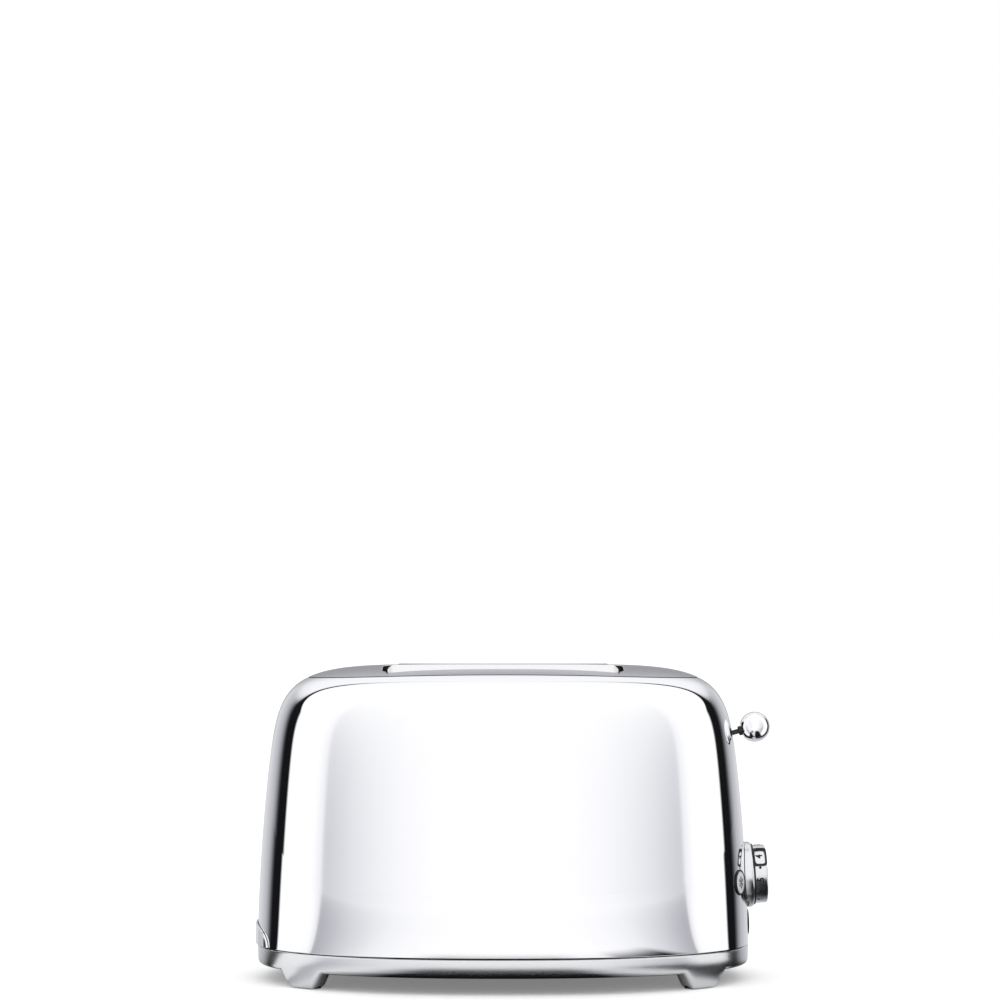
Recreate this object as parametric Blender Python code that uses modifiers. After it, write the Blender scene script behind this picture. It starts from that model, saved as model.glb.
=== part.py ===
"""Two-slice toaster with a polished steel shell, built from separate pieces.

Metres, +Z up. The front faces -Y, the lever and the dial are at the +X end,
and the crumb drawer comes out at the -X end. Sizes are given about the middle
of the body; the whole part is moved so that the middle of its box is at x = 0.
"""

import math

import bmesh
import bpy
from mathutils import Matrix, Vector

MM = 0.001
OBJECT_NAME = "two_slice_toaster"

# Clearances
GAP = 0.3 * MM
SLIDE_GAP = 0.8 * MM
CUT_OVERRUN = 4 * MM
WELD_DISTANCE = 0.001 * MM

# Bread slots, which the chamber and the body are built around
SLOT_LENGTH = 150 * MM
SLOT_WIDTH = 30 * MM
SLOT_CENTRE_Y = 29 * MM
SLOT_CORNER = 8 * MM
SLOT_WALL = 1.1 * MM
SLOT_TRIM_IN = 0.5 * MM
COLLAR_DEPTH = 14 * MM
COLLAR_SINK = 0.3 * MM
LIP_FADE = 6 * MM
CORNER_STEPS = 5

# Body outline
CHAMBER_END_ROOM = 9 * MM
END_ROOM = 71.15 * MM
SIDE_ROOM = 45 * MM
SHELL_HEIGHT = 175.8 * MM
END_DRAW_IN = 14.7 * MM
SIDE_DRAW_IN = 14.7 * MM
PLAN_POWER = 2.3
LEAN_POWER = 1.7
END_ROUND_POWERS = (12.9, 5.73)
SIDE_ROUND_POWERS = (8.0, 3.5)
PLAN_STEPS = 56

# Shell and deck
SHELL_WALL = 1.0 * MM
DECK_WALL = 1.0 * MM
CROWN_RISE = 8.6 * MM
SEAM_RISE = 2.2 * MM
SEAM_RISE_POWER = 4
SEAM_DROP = 0.15 * MM
SHELL_RING_SHARES = (0, 0.2, 0.4, 0.56, 0.7, 0.8, 0.87, 0.92, 0.955, 0.98, 1)
DECK_RING_SHARES = (1, 0.94, 0.87, 0.78, 0.65, 0.45)

# Base skirt, legs and pads
SKIRT_HEIGHT = 11.8 * MM
SKIRT_WALL = 3.2 * MM
SKIRT_CHAMFER = 0.9 * MM
SKIRT_ROUND = 5.5 * MM
SKIRT_LIP = 6.4 * MM
SKIRT_ROUND_SHARES = ((0, 1), (0.13, 0.55), (0.48, 0.18), (1, 0))
FLANGE_WIDTH = 14.5 * MM
FLANGE_THICKNESS = 2.5 * MM
LEG_HEIGHT = 9 * MM
LEG_ROOT = 1 * MM
LEG_DEPTH = 16 * MM
LEG_DRAFT = 2 * MM
LEG_SKIN_INSET = 0.25 * MM
LEG_TOP_ANGLES = (30.6, 48.4)
LEG_FOOT_ANGLES = (35.9, 43.9)
LEG_LEVEL_SHARES = (0, 0.3, 0.65, 0.97)
LEG_ARC_STEPS = 4
PAD_HEIGHT = 1.7 * MM
PAD_RADIUS = 4.8 * MM
PAD_STEPS = 16

# Bottom plate and its fasteners
PLATE_THICKNESS = 1.2 * MM
PLATE_STEPS = 48
RAIL_SPACING = 44 * MM
RAIL_HEIGHT = 10.8 * MM
RAIL_THICKNESS = 1.6 * MM
RAIL_ROOT = 0.5 * MM
VENT_LENGTH = 34 * MM
VENT_WIDTH = 4 * MM
VENT_PITCH = 12 * MM
VENT_COUNT = 7
SCREW_HEAD_RADIUS = 3.2 * MM
SCREW_HEAD_HEIGHT = 1.1 * MM
SCREW_RADIUS = 1.6 * MM
SCREW_LENGTH = 3.4 * MM
SCREW_OFFSET_X = 70 * MM
SCREW_STEPS = 16

# Cord inlet
GLAND_ROOM = 22 * MM
GLAND_Y = 43 * MM
GLAND_RADIUS = 5 * MM
GLAND_BORE = 3.4 * MM
GLAND_FLANGE = 2 * MM
GLAND_FLANGE_HEIGHT = 1.2 * MM
GLAND_RISE = 5 * MM
GLAND_STEPS = 16
TERMINAL_SIZE = (22 * MM, 12 * MM, 12 * MM)

# Toasting chamber
CHAMBER_SHEET = 1.0 * MM
CHAMBER_TOP_ROOM = 17.9 * MM
END_PLATE_MARGIN = 2 * MM
END_PLATE_WINDOW_ROOM = 4.4 * MM
END_PLATE_LEG = 14 * MM
SIDE_SHEET = 0.8 * MM
SIDE_WALL_ROOM = 8.5 * MM
CHUTE_FALL = 19 * MM
CHUTE_OVERHANG = 2.5 * MM
CHUTE_ROOM = 3.4 * MM
TOP_FLANGE_LENGTH = 24 * MM
TOP_FLANGE_DEPTH = 52 * MM

# Heaters
HEATER_THICKNESS = 1.0 * MM
HEATER_BOTTOM = 56 * MM
HEATER_TOP_ROOM = 8 * MM
HEATER_SET_BACK = 5 * MM

# Bread guards
GUARD_BAR = 1.6 * MM
GUARD_HINGE_Z = 48 * MM
GUARD_TOP_ROOM = 10 * MM
GUARD_SET_IN = 1.5 * MM
GUARD_END_INSET = 9 * MM
GUARD_BAR_COUNT = 8

# Bread racks
RACK_TOP = 115 * MM
RACK_SHEET = 1.6 * MM
RACK_FINGER_LENGTH = 20 * MM
RACK_FINGER_WIDTH = 3 * MM
RACK_FINGER_COUNT = 8
RACK_END_ROOM = 2 * MM
RACK_BAR_HEIGHT = 8 * MM
RACK_TAIL = 5 * MM
RACK_JOIN = 0.4 * MM

# Carriage and its travel
CARRIAGE_DROP = 50 * MM
CARRIAGE_LIFT = 8 * MM
SLOT_END_ROOM = 1.5 * MM
CARRIAGE_ROOM = 7 * MM
CARRIAGE_PLATE = 2 * MM
CARRIAGE_PLATE_MARGIN = 5 * MM
CARRIAGE_PLATE_HEIGHT = 20 * MM
CARRIAGE_BLOCK_LENGTH = 10 * MM
CARRIAGE_BLOCK_HEIGHT = 14 * MM
CARRIAGE_BLOCK_MARGIN = 6 * MM
ROD_RADIUS = 2.5 * MM
ROD_GAP = 0.4 * MM
ROD_SPACING = 32 * MM
ROD_STEPS = 20
SPRING_RADIUS = 4 * MM
SPRING_WIRE = 0.6 * MM
SPRING_TURNS = 11
SPRING_POINTS_PER_TURN = 8

# Catch plate and latch magnet
CATCH_THICKNESS = 1.5 * MM
CATCH_DEPTH = 24 * MM
CATCH_REACH = 16 * MM
CATCH_DROP = 6.5 * MM
CATCH_OVERLAP = 3 * MM
MAGNET_INSET = 2 * MM
MAGNET_DEPTH = 20 * MM

# Lever arm and ball
ARM_THICKNESS = 3 * MM
ARM_WIDTH = 7 * MM
ARM_HALF_HEIGHT = 2.6 * MM
ARM_STEM_HALF = 1.5 * MM
ARM_STEM_LENGTH = 13 * MM
ARM_SLOPE = 15.0
BALL_OUT = 15.2 * MM
BALL_DROP = 39.9 * MM
BALL_RADIUS = 9.65 * MM
BALL_FLAT = 8.3 * MM
BALL_STEPS = 26
COLLAR_LENGTH = 2 * MM
COLLAR_RADIUS = 3.1 * MM
COLLAR_TAPER = 0.2 * MM
COLLAR_BORE = 2.4 * MM
COLLAR_ROOM = 0.4 * MM
TRIM_THICKNESS = 1.5 * MM
TRIM_EDGE = 0.3 * MM
TRIM_BORDER = 2.2 * MM
TRIM_MARGIN = 5 * MM
TRIM_POINTS = 7

# Browning dial, measured outwards from the shell
DIAL_Z = 64.3 * MM
DIAL_RADIUS = 18.4 * MM
DIAL_BACK_OUT = 2.6 * MM
DIAL_LENGTH = 10.3 * MM
DIAL_CHAMFER = 0.8 * MM
DIAL_DISH = 0.7 * MM
DIAL_RIM = 2.4 * MM
BEZEL_RIM = 2.3 * MM
BEZEL_LIP = 1.6 * MM
BEZEL_CHAMFER = 0.5 * MM
BEZEL_HUB_RADIUS = 9 * MM
BEZEL_HUB_DEPTH = 3 * MM
SHAFT_RADIUS = 3 * MM
SHAFT_SOCKET = 7 * MM
DIAL_STEPS = 36
WINDOW_ANGLE = 41.0
WINDOW_WIDTH = 13.6 * MM
WINDOW_FRAME = 1.7 * MM
WINDOW_THICKNESS = 0.9 * MM

# Programme buttons
BUTTON_RADIUS = 6.2 * MM
BUTTON_RING_RADIUS = 8.25 * MM
BUTTON_RING_PROUD = 0.55 * MM
BUTTON_PROUD = 0.85 * MM
BUTTON_TRAVEL = 1.5 * MM
BUTTON_CAP_DEPTH = 4 * MM
BUTTON_STEM_RADIUS = 2.2 * MM
BUTTON_SLEEVE = 1 * MM
BUTTON_SLEEVE_DEPTH = 3.2 * MM
BUTTON_CHAMFER = 0.5 * MM
BUTTON_STEPS = 22
SIDE_BUTTON_Y = 34.5 * MM
SIDE_BUTTON_Z = 62.3 * MM
LOW_BUTTON_Z = 34.4 * MM

# Control board and what sits on it
BOARD_ROOM = 5.2 * MM
BOARD_THICKNESS = 1.6 * MM
BOARD_DEPTH = 80 * MM
BOARD_TOP = 88 * MM
SWITCH_SIZE = 8 * MM
SWITCH_HEIGHT = 5.5 * MM
POT_RADIUS = 8 * MM
POT_LENGTH = 6 * MM

# Crumb drawer
TRAY_WIDTH = 62 * MM
TRAY_HEIGHT = 6 * MM
TRAY_SHEET = 0.8 * MM
TRAY_SET_IN = 7.6 * MM
TRAY_BACK_ROOM = 2 * MM
MOUTH_SIDE_ROOM = 6.5 * MM
MOUTH_HEIGHT = 11.2 * MM
MOUTH_POWER = 3
HANDLE_SIDE_LAP = 3.5 * MM
HANDLE_TOP_LAP = 1.8 * MM
HANDLE_POWER = 2.4
HANDLE_PROUD = 1.2 * MM
PLUG_SIDE_ROOM = 10 * MM
ARCH_STEPS = 20

# Heights that follow from the sizes above
FOOT_Z = PAD_HEIGHT + GAP
LEG_TOP = FOOT_Z + LEG_HEIGHT
PLATE_BOTTOM = LEG_TOP + GAP
PLATE_TOP = PLATE_BOTTOM + PLATE_THICKNESS
FLANGE_BOTTOM = PLATE_TOP + GAP
STAND_Z = PLATE_TOP + GAP
SKIRT_BOTTOM = LEG_TOP - LEG_ROOT
SKIRT_TOP = SKIRT_BOTTOM + SKIRT_HEIGHT
SHELL_BASE = SKIRT_TOP + GAP
CROWN_HEIGHT = SHELL_BASE + SHELL_HEIGHT
END_SEAM_HEIGHT = CROWN_HEIGHT - CROWN_RISE
COLLAR_BOTTOM = CROWN_HEIGHT - COLLAR_DEPTH
CHAMBER_TOP = CROWN_HEIGHT - CHAMBER_TOP_ROOM
BALL_Z = CROWN_HEIGHT - BALL_DROP
TRAY_BOTTOM = PLATE_TOP + RAIL_HEIGHT + GAP
TRAY_TOP = TRAY_BOTTOM + TRAY_HEIGHT
WINDOW_TOP = TRAY_TOP + END_PLATE_WINDOW_ROOM
CHUTE_MOUTH = TRAY_TOP + CHUTE_ROOM
HEATER_TOP = CHAMBER_TOP - HEATER_TOP_ROOM
GUARD_TOP = CHAMBER_TOP - GUARD_TOP_ROOM
RACK_BAR_TOP = RACK_TOP - RACK_SHEET + RACK_JOIN
RACK_BAR_BOTTOM = RACK_BAR_TOP - RACK_BAR_HEIGHT

# Distances from the middle that follow from the sizes above
CHAMBER_X = SLOT_LENGTH / 2 + CHAMBER_END_ROOM
GLAND_X = CHAMBER_X + GLAND_ROOM
SLOT_OUTER_Y = SLOT_CENTRE_Y + SLOT_WIDTH / 2
SLOT_INNER_Y = SLOT_CENTRE_Y - SLOT_WIDTH / 2
SIDE_WALL_Y = SLOT_OUTER_Y + SIDE_WALL_ROOM
END_PLATE_Y = SIDE_WALL_Y + END_PLATE_MARGIN
BODY_WIDTH = 2 * (CHAMBER_X + END_ROOM)
BODY_DEPTH = 2 * (SIDE_WALL_Y + SIDE_ROOM)
PLATE_INSET = SKIRT_LIP + GAP
GUARD_OUTER_Y = SLOT_OUTER_Y - GUARD_SET_IN
GUARD_INNER_Y = SLOT_INNER_Y + GUARD_SET_IN
HEATER_OUTER_Y = SLOT_OUTER_Y + HEATER_SET_BACK - HEATER_THICKNESS / 2
HEATER_INNER_Y = SLOT_INNER_Y - HEATER_SET_BACK
CARRIAGE_X = CHAMBER_X + CHAMBER_SHEET + CARRIAGE_ROOM
CARRIAGE_FRONT_X = CARRIAGE_X + CARRIAGE_PLATE + CARRIAGE_BLOCK_LENGTH
ROD_X = CARRIAGE_FRONT_X - CARRIAGE_BLOCK_LENGTH / 2
CARRIAGE_Z = RACK_BAR_BOTTOM + RACK_BAR_HEIGHT / 2
BLOCK_BOTTOM = CARRIAGE_Z - CARRIAGE_BLOCK_HEIGHT / 2
BLOCK_TOP = CARRIAGE_Z + CARRIAGE_BLOCK_HEIGHT / 2
CATCH_X = CARRIAGE_FRONT_X + GAP
CATCH_BOTTOM = BLOCK_BOTTOM - CATCH_DROP
MAGNET_TOP = CATCH_BOTTOM - CARRIAGE_DROP - GAP
BOARD_X = CATCH_X + CATCH_REACH + BOARD_ROOM
BOARD_FACE_X = BOARD_X + BOARD_THICKNESS
TRIM_SLOT_WIDTH = 2 * (COLLAR_RADIUS + COLLAR_ROOM)
LEVER_SLOT_WIDTH = TRIM_SLOT_WIDTH + 2 * TRIM_EDGE


def height_share(z):
    """Share of the shell's height, from 0 at its lower edge to 1 at the crown."""
    return min(max((z - SHELL_BASE) / SHELL_HEIGHT, 0), 1)


def rounded(share, powers):
    """How much of its width the body keeps at a share of the height."""
    return (1 - share ** powers[0]) ** (1 / powers[1])


def half_width(z):
    share = height_share(z)
    return (BODY_WIDTH / 2 - END_DRAW_IN * share**LEAN_POWER) * rounded(share, END_ROUND_POWERS)


def half_depth(z):
    share = height_share(z)
    return (BODY_DEPTH / 2 - SIDE_DRAW_IN * share**LEAN_POWER) * rounded(share, SIDE_ROUND_POWERS)


def power_curve(width, depth, angle, power=PLAN_POWER):
    """A point of the rounded-oblong outline that the body has seen from above."""
    cosine, sine = math.cos(angle), math.sin(angle)
    x = width * math.copysign(abs(cosine) ** (2 / power), cosine)
    y = depth * math.copysign(abs(sine) ** (2 / power), sine)
    return x, y


def outline_x(y, z, inset=0):
    """Distance from the middle to the body's end at a given y and height."""
    share = min(abs(y) / (half_depth(z) - inset), 1)
    return (half_width(z) - inset) * (1 - share**PLAN_POWER) ** (1 / PLAN_POWER)


def outline_y(x, z, inset=0):
    """Distance from the middle to the body's side at a given x and height."""
    share = min(abs(x) / (half_width(z) - inset), 1)
    return (half_depth(z) - inset) * (1 - share**PLAN_POWER) ** (1 / PLAN_POWER)


def inside_body(x, y, z):
    if z >= CROWN_HEIGHT or half_width(z) <= 0 or half_depth(z) <= 0:
        return False
    spread = abs(x / half_width(z)) ** PLAN_POWER + abs(y / half_depth(z)) ** PLAN_POWER
    return spread < 1


def bisect(is_inside, low, high):
    """Where a straight way crosses the skin, between an inner and an outer value."""
    for _ in range(HALVINGS):
        middle = (low + high) / 2
        if is_inside(middle):
            low = middle
        else:
            high = middle
    return low


def crown_height_at(x, y):
    """Height of the body's top surface above a place inside the outline."""
    return bisect(lambda z: inside_body(x, y, z), SHELL_BASE, CROWN_HEIGHT)


def seam_height(angle):
    return END_SEAM_HEIGHT + SEAM_RISE * abs(math.sin(angle)) ** SEAM_RISE_POWER


HALVINGS = 40
ANGLES = [2 * math.pi * step / PLAN_STEPS for step in range(PLAN_STEPS)]

# The dial stands square on the leaning end, and the box runs from the crumb
# drawer's handle to the lower rim of the dial's face
DIAL_LEAN = math.atan2(half_width(DIAL_Z - GAP) - half_width(DIAL_Z + GAP), 2 * GAP)
DIAL_FACE_OUT = DIAL_BACK_OUT + DIAL_LENGTH
DIAL_RIM_DROP = (DIAL_RADIUS - DIAL_CHAMFER) * math.sin(DIAL_LEAN)
DIAL_REACH = half_width(DIAL_Z) + DIAL_FACE_OUT * math.cos(DIAL_LEAN) + DIAL_RIM_DROP
HANDLE_REACH = half_width(SHELL_BASE + GAP) + HANDLE_PROUD
BODY_SHIFT = -(DIAL_REACH - HANDLE_REACH) / 2


def start_scene():
    for old in list(bpy.data.objects):
        bpy.data.objects.remove(old, do_unlink=True)
    for name in (OBJECT_NAME, "cutters"):
        collection = bpy.data.collections.new(name)
        bpy.context.scene.collection.children.link(collection)
    middle = bpy.data.objects.new("body_middle", None)
    middle.location.x = BODY_SHIFT
    bpy.data.collections[OBJECT_NAME].objects.link(middle)


def material(name, colour, metallic, roughness):
    """The material of that name, made on its first use."""
    found = bpy.data.materials.get(name)
    if found is None:
        found = bpy.data.materials.new(name)
        found.use_nodes = True
        shader = found.node_tree.nodes["Principled BSDF"]
        shader.inputs["Base Color"].default_value = (*colour, 1)
        shader.inputs["Metallic"].default_value = metallic
        shader.inputs["Roughness"].default_value = roughness
    return found


def new_object(name, mesh, look=None, parent="body_middle"):
    """Adds a piece, or a cutter where it has no look."""
    piece = bpy.data.objects.new(name, mesh)
    piece.parent = bpy.data.objects[parent]
    if look is None:
        bpy.data.collections["cutters"].objects.link(piece)
        piece.hide_render = True
        piece.display_type = "WIRE"
    else:
        bpy.data.collections[OBJECT_NAME].objects.link(piece)
        piece.data.materials.append(material(f"{name}_finish", *look))
    return piece


def pivot(name, place):
    """An empty on a joint's axis, which carries the pieces that move there."""
    empty = bpy.data.objects.new(name, None)
    empty.parent = bpy.data.objects["body_middle"]
    empty.location = place
    bpy.data.collections[OBJECT_NAME].objects.link(empty)
    return name


def carry(piece, empty):
    """Hangs a piece on an empty and keeps it where it is."""
    piece.parent = bpy.data.objects[empty]
    piece.location -= bpy.data.objects[empty].location
    return piece


def boolean(piece, cutter, operation="DIFFERENCE"):
    step = piece.modifiers.new(f"{operation.lower()}_{cutter.name}", "BOOLEAN")
    step.operation = operation
    step.solver = "EXACT"
    step.object = cutter
    return piece


def smooth(piece, angle=35):
    piece.data.shade_smooth()
    piece.data.set_sharp_from_angle(angle=math.radians(angle))
    return piece


def mesh_of(name, points, faces):
    mesh = bpy.data.meshes.new(name)
    mesh.from_pydata(points, [], faces)
    mesh.update()
    return mesh


def tidy_mesh(mesh, closed=True):
    """Welds points that meet and turns the faces of a closed mesh outwards."""
    work = bmesh.new()
    work.from_mesh(mesh)
    bmesh.ops.remove_doubles(work, verts=work.verts, dist=WELD_DISTANCE)
    if closed:
        bmesh.ops.recalc_face_normals(work, faces=work.faces)
    work.to_mesh(mesh)
    work.free()
    return mesh


def loft(name, rings, wrap=False, caps=False):
    """A skin through rings of points; wrap joins the last ring to the first."""
    count = len(rings[0])
    points = [point for ring in rings for point in ring]
    faces = []
    for level in range(len(rings) if wrap else len(rings) - 1):
        low, high = level * count, (level + 1) % len(rings) * count
        for step in range(count):
            after = (step + 1) % count
            faces.append((low + step, low + after, high + after, high + step))
    if caps:
        faces.append(tuple(reversed(range(count))))
        faces.append(tuple(range(len(points) - count, len(points))))
    mesh = mesh_of(name, points, faces)
    return tidy_mesh(mesh) if wrap or caps else mesh


def box(name, low, high, look=None, places=((0, 0, 0),)):
    """A block between two corners, or a row of them, with its origin in the first."""
    work = bmesh.new()
    size = Vector(high) - Vector(low)
    for place in places:
        matrix = Matrix.Translation(place) @ Matrix.Diagonal((*size, 1))
        bmesh.ops.create_cube(work, size=1, matrix=matrix)
    mesh = bpy.data.meshes.new(name)
    work.to_mesh(mesh)
    work.free()
    piece = new_object(name, mesh, look)
    piece.location = (Vector(low) + Vector(high)) / 2
    return piece


def cylinder(name, start, end, radius, steps, look=None, end_radius=None):
    """A round bar or a cone between two points."""
    start, end = Vector(start), Vector(end)
    work = bmesh.new()
    bmesh.ops.create_cone(
        work,
        cap_ends=True,
        segments=steps,
        radius1=radius,
        radius2=radius if end_radius is None else end_radius,
        depth=(end - start).length,
    )
    mesh = bpy.data.meshes.new(name)
    work.to_mesh(mesh)
    work.free()
    piece = new_object(name, mesh, look)
    piece.location = (start + end) / 2
    piece.rotation_mode = "QUATERNION"
    piece.rotation_quaternion = (end - start).to_track_quat("Z", "Y")
    return smooth(piece)


def turned(name, profile, steps, look, closed=False):
    """A turned piece from its profile of radius and height, outer side downwards."""
    mesh = bpy.data.meshes.new(name)
    edges = [(step, step + 1) for step in range(len(profile) - 1)]
    if closed:
        edges.append((len(profile) - 1, 0))
    mesh.from_pydata([(radius, 0, height) for radius, height in profile], edges, [])
    piece = new_object(name, mesh, look)
    screw = piece.modifiers.new("turning", "SCREW")
    screw.steps = screw.render_steps = steps
    screw.use_merge_vertices = True
    screw.merge_threshold = WELD_DISTANCE
    screw.use_smooth_shade = False
    return piece


def solid_from_curve(curve_object, look):
    """The closed mesh of a curve object, under the same name and in its place."""
    bpy.context.view_layer.update()
    name = curve_object.name
    place = curve_object.matrix_local.copy()
    evaluated = curve_object.evaluated_get(bpy.context.evaluated_depsgraph_get())
    mesh = tidy_mesh(bpy.data.meshes.new_from_object(evaluated))
    bpy.data.objects.remove(curve_object)
    piece = new_object(name, mesh, look)
    piece.matrix_local = place
    return piece


FACINGS = {
    "XY": Matrix.Identity(4),
    "YZ": Matrix(((0, 0, 1, 0), (1, 0, 0, 0), (0, 1, 0, 0), (0, 0, 0, 1))),
    "XZ": Matrix(((1, 0, 0, 0), (0, 0, -1, 0), (0, 1, 0, 0), (0, 0, 0, 1))),
}


def plate(name, outline, low, high, facing, look=None, holes=()):
    """A flat sheet cut to an outline, between two levels along its normal."""
    curve = bpy.data.curves.new(name, "CURVE")
    curve.dimensions = "2D"
    curve.fill_mode = "BOTH"
    curve.extrude = abs(high - low) / 2
    for points in (outline, *holes):
        spline = curve.splines.new("POLY")
        spline.points.add(len(points) - 1)
        for point, (across, up) in zip(spline.points, points):
            point.co = (across, up, 0, 1)
        spline.use_cyclic_u = True
    sheet = bpy.data.objects.new(name, curve)
    bpy.data.collections["cutters"].objects.link(sheet)
    sheet.matrix_local = FACINGS[facing] @ Matrix.Translation((0, 0, (low + high) / 2))
    return solid_from_curve(sheet, look)


def rectangle(low_across, low_up, high_across, high_up):
    return [(low_across, low_up), (high_across, low_up), (high_across, high_up), (low_across, high_up)]


def circle(across, up, radius, steps):
    turns = [2 * math.pi * step / steps for step in range(steps)]
    return [(across + radius * math.cos(turn), up + radius * math.sin(turn)) for turn in turns]


def rounded_rectangle(half_across, half_up, radius):
    """Corner arcs of an oblong about its middle, counter-clockwise from +x."""
    points = []
    for corner in range(4):
        centre_x = (half_across - radius) * (1 if corner in (0, 3) else -1)
        centre_y = (half_up - radius) * (1 if corner in (0, 1) else -1)
        for step in range(CORNER_STEPS + 1):
            turn = math.pi / 2 * (corner + step / CORNER_STEPS)
            points.append((centre_x + radius * math.cos(turn), centre_y + radius * math.sin(turn)))
    return points


def arch(half_across, base, height, power):
    """A flat-bottomed arch, as the crumb drawer's mouth and handle have."""
    points = []
    for step in range(ARCH_STEPS + 1):
        across, up = power_curve(half_across, height, math.pi * step / ARCH_STEPS, power)
        points.append((across, base + max(up, 0)))
    return points


def skin_ring(z, offset=0):
    """The body's outline at one height, moved outwards by an offset."""
    ring = []
    for angle in ANGLES:
        x, y = power_curve(half_width(z) + offset, half_depth(z) + offset, angle)
        ring.append((x, y, z))
    return ring


POLISHED_STEEL = ((0.83, 0.84, 0.85), 1.0, 0.05)
SATIN_STEEL = ((0.72, 0.72, 0.73), 1.0, 0.32)
CAST_METAL = ((0.66, 0.67, 0.68), 1.0, 0.38)
ZINC_STEEL = ((0.52, 0.53, 0.54), 1.0, 0.45)
DARK_STEEL = ((0.22, 0.22, 0.23), 1.0, 0.4)
BLACK_PLASTIC = ((0.02, 0.02, 0.022), 0.0, 0.4)
BLACK_RUBBER = ((0.025, 0.025, 0.025), 0.0, 0.8)
MICA = ((0.46, 0.38, 0.26), 0.0, 0.5)
BOARD_GREEN = ((0.03, 0.16, 0.07), 0.0, 0.5)
COIL_COPPER = ((0.6, 0.27, 0.12), 1.0, 0.35)


def make_shell():
    """The polished outer shell, open below and closed above by the deck."""
    rings = []
    for share in SHELL_RING_SHARES:
        ring = []
        for angle in ANGLES:
            z = SHELL_BASE + (seam_height(angle) - SHELL_BASE) * share
            x, y = power_curve(half_width(z), half_depth(z), angle)
            ring.append((x, y, z))
        rings.append(ring)
    shell = new_object("outer_shell", loft("outer_shell", rings), POLISHED_STEEL)
    thicken(shell, SHELL_WALL)
    boolean(shell, lever_slot_cutter("shell_lever_slot", LEVER_SLOT_WIDTH))
    frame = skin_frame(0, DIAL_Z)
    deep, out = frame @ Vector((0, 0, -BEZEL_HUB_RADIUS)), frame @ Vector((0, 0, BEZEL_HUB_RADIUS))
    boolean(shell, cylinder("dial_hole", deep, out, BEZEL_HUB_RADIUS + GAP, DIAL_STEPS))
    for side, frame in button_frames().items():
        deep, out = frame @ Vector((0, 0, -BUTTON_RING_RADIUS)), frame @ Vector((0, 0, BUTTON_RING_RADIUS))
        hole = BUTTON_RADIUS + BUTTON_SLEEVE + 2 * GAP
        boolean(shell, cylinder(f"button_hole_{side}", deep, out, hole, BUTTON_STEPS))
    half, height = TRAY_WIDTH / 2 + MOUTH_SIDE_ROOM, MOUTH_HEIGHT + CUT_OVERRUN
    mouth = arch(half, SHELL_BASE - CUT_OVERRUN, height, MOUTH_POWER)
    boolean(shell, plate("drawer_mouth", mouth, -HANDLE_REACH - CUT_OVERRUN, -CHAMBER_X, "YZ"))
    smooth(shell)


def thicken(piece, wall):
    """Gives an open skin its wall, on the inner side."""
    solid = piece.modifiers.new("wall", "SOLIDIFY")
    solid.thickness = wall
    solid.offset = -1
    solid.use_even_offset = True


def make_deck():
    """The satin top with the two bread slots, their lips and their collars."""
    rings = []
    for share in DECK_RING_SHARES:
        ring = []
        for angle in ANGLES:
            edge = seam_height(angle) + SEAM_DROP
            x, y = power_curve(half_width(edge), half_depth(edge), angle)
            ring.append((x * share, y * share, crown_height_at(x * share, y * share)))
        rings.append(ring)
    middle = (0, 0, crown_height_at(0, 0))
    skin = tidy_mesh(loft("top_deck", rings + [[middle] * PLAN_STEPS]), closed=False)
    deck = new_object("top_deck", skin, SATIN_STEEL)
    thicken(deck, DECK_WALL)
    for side, centre in (("front", -SLOT_CENTRE_Y), ("rear", SLOT_CENTRE_Y)):
        boolean(deck, slot_collar(f"collar_{side}", centre), "UNION")
    outline = rounded_rectangle(SLOT_LENGTH / 2, SLOT_WIDTH / 2, SLOT_CORNER)
    for side, centre in (("front", -SLOT_CENTRE_Y), ("rear", SLOT_CENTRE_Y)):
        placed = [(x, y + centre) for x, y in outline]
        top = CROWN_HEIGHT + CUT_OVERRUN
        boolean(deck, plate(f"slot_{side}", placed, COLLAR_BOTTOM - CUT_OVERRUN, top, "XY"))
    smooth(deck)


def slot_collar(name, centre):
    """The wall around a slot: it hangs below the deck and forms the lip above it."""
    inner = rounded_rectangle(
        SLOT_LENGTH / 2 - SLOT_TRIM_IN, SLOT_WIDTH / 2 - SLOT_TRIM_IN, SLOT_CORNER - SLOT_TRIM_IN
    )
    outer = rounded_rectangle(
        SLOT_LENGTH / 2 + SLOT_WALL, SLOT_WIDTH / 2 + SLOT_WALL, SLOT_CORNER + SLOT_WALL
    )
    straight = SLOT_LENGTH / 2 - SLOT_CORNER
    sections = []
    for (inner_x, inner_y), (outer_x, outer_y) in zip(inner, outer):
        sunk = crown_height_at(outer_x, outer_y + centre) - COLLAR_SINK
        fade = max(0, 1 - (max(0, abs(outer_x) - straight) / LIP_FADE) ** 2)
        is_outer_side = (outer_y > 0) == (centre > 0)
        top = max(sunk, sunk + (CROWN_HEIGHT - sunk) * fade) if is_outer_side else sunk
        sections.append(
            [
                (inner_x, inner_y + centre, COLLAR_BOTTOM),
                (outer_x, outer_y + centre, COLLAR_BOTTOM),
                (outer_x, outer_y + centre, top),
                (inner_x, inner_y + centre, top),
            ]
        )
    return new_object(name, loft(name, sections, wrap=True))


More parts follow.
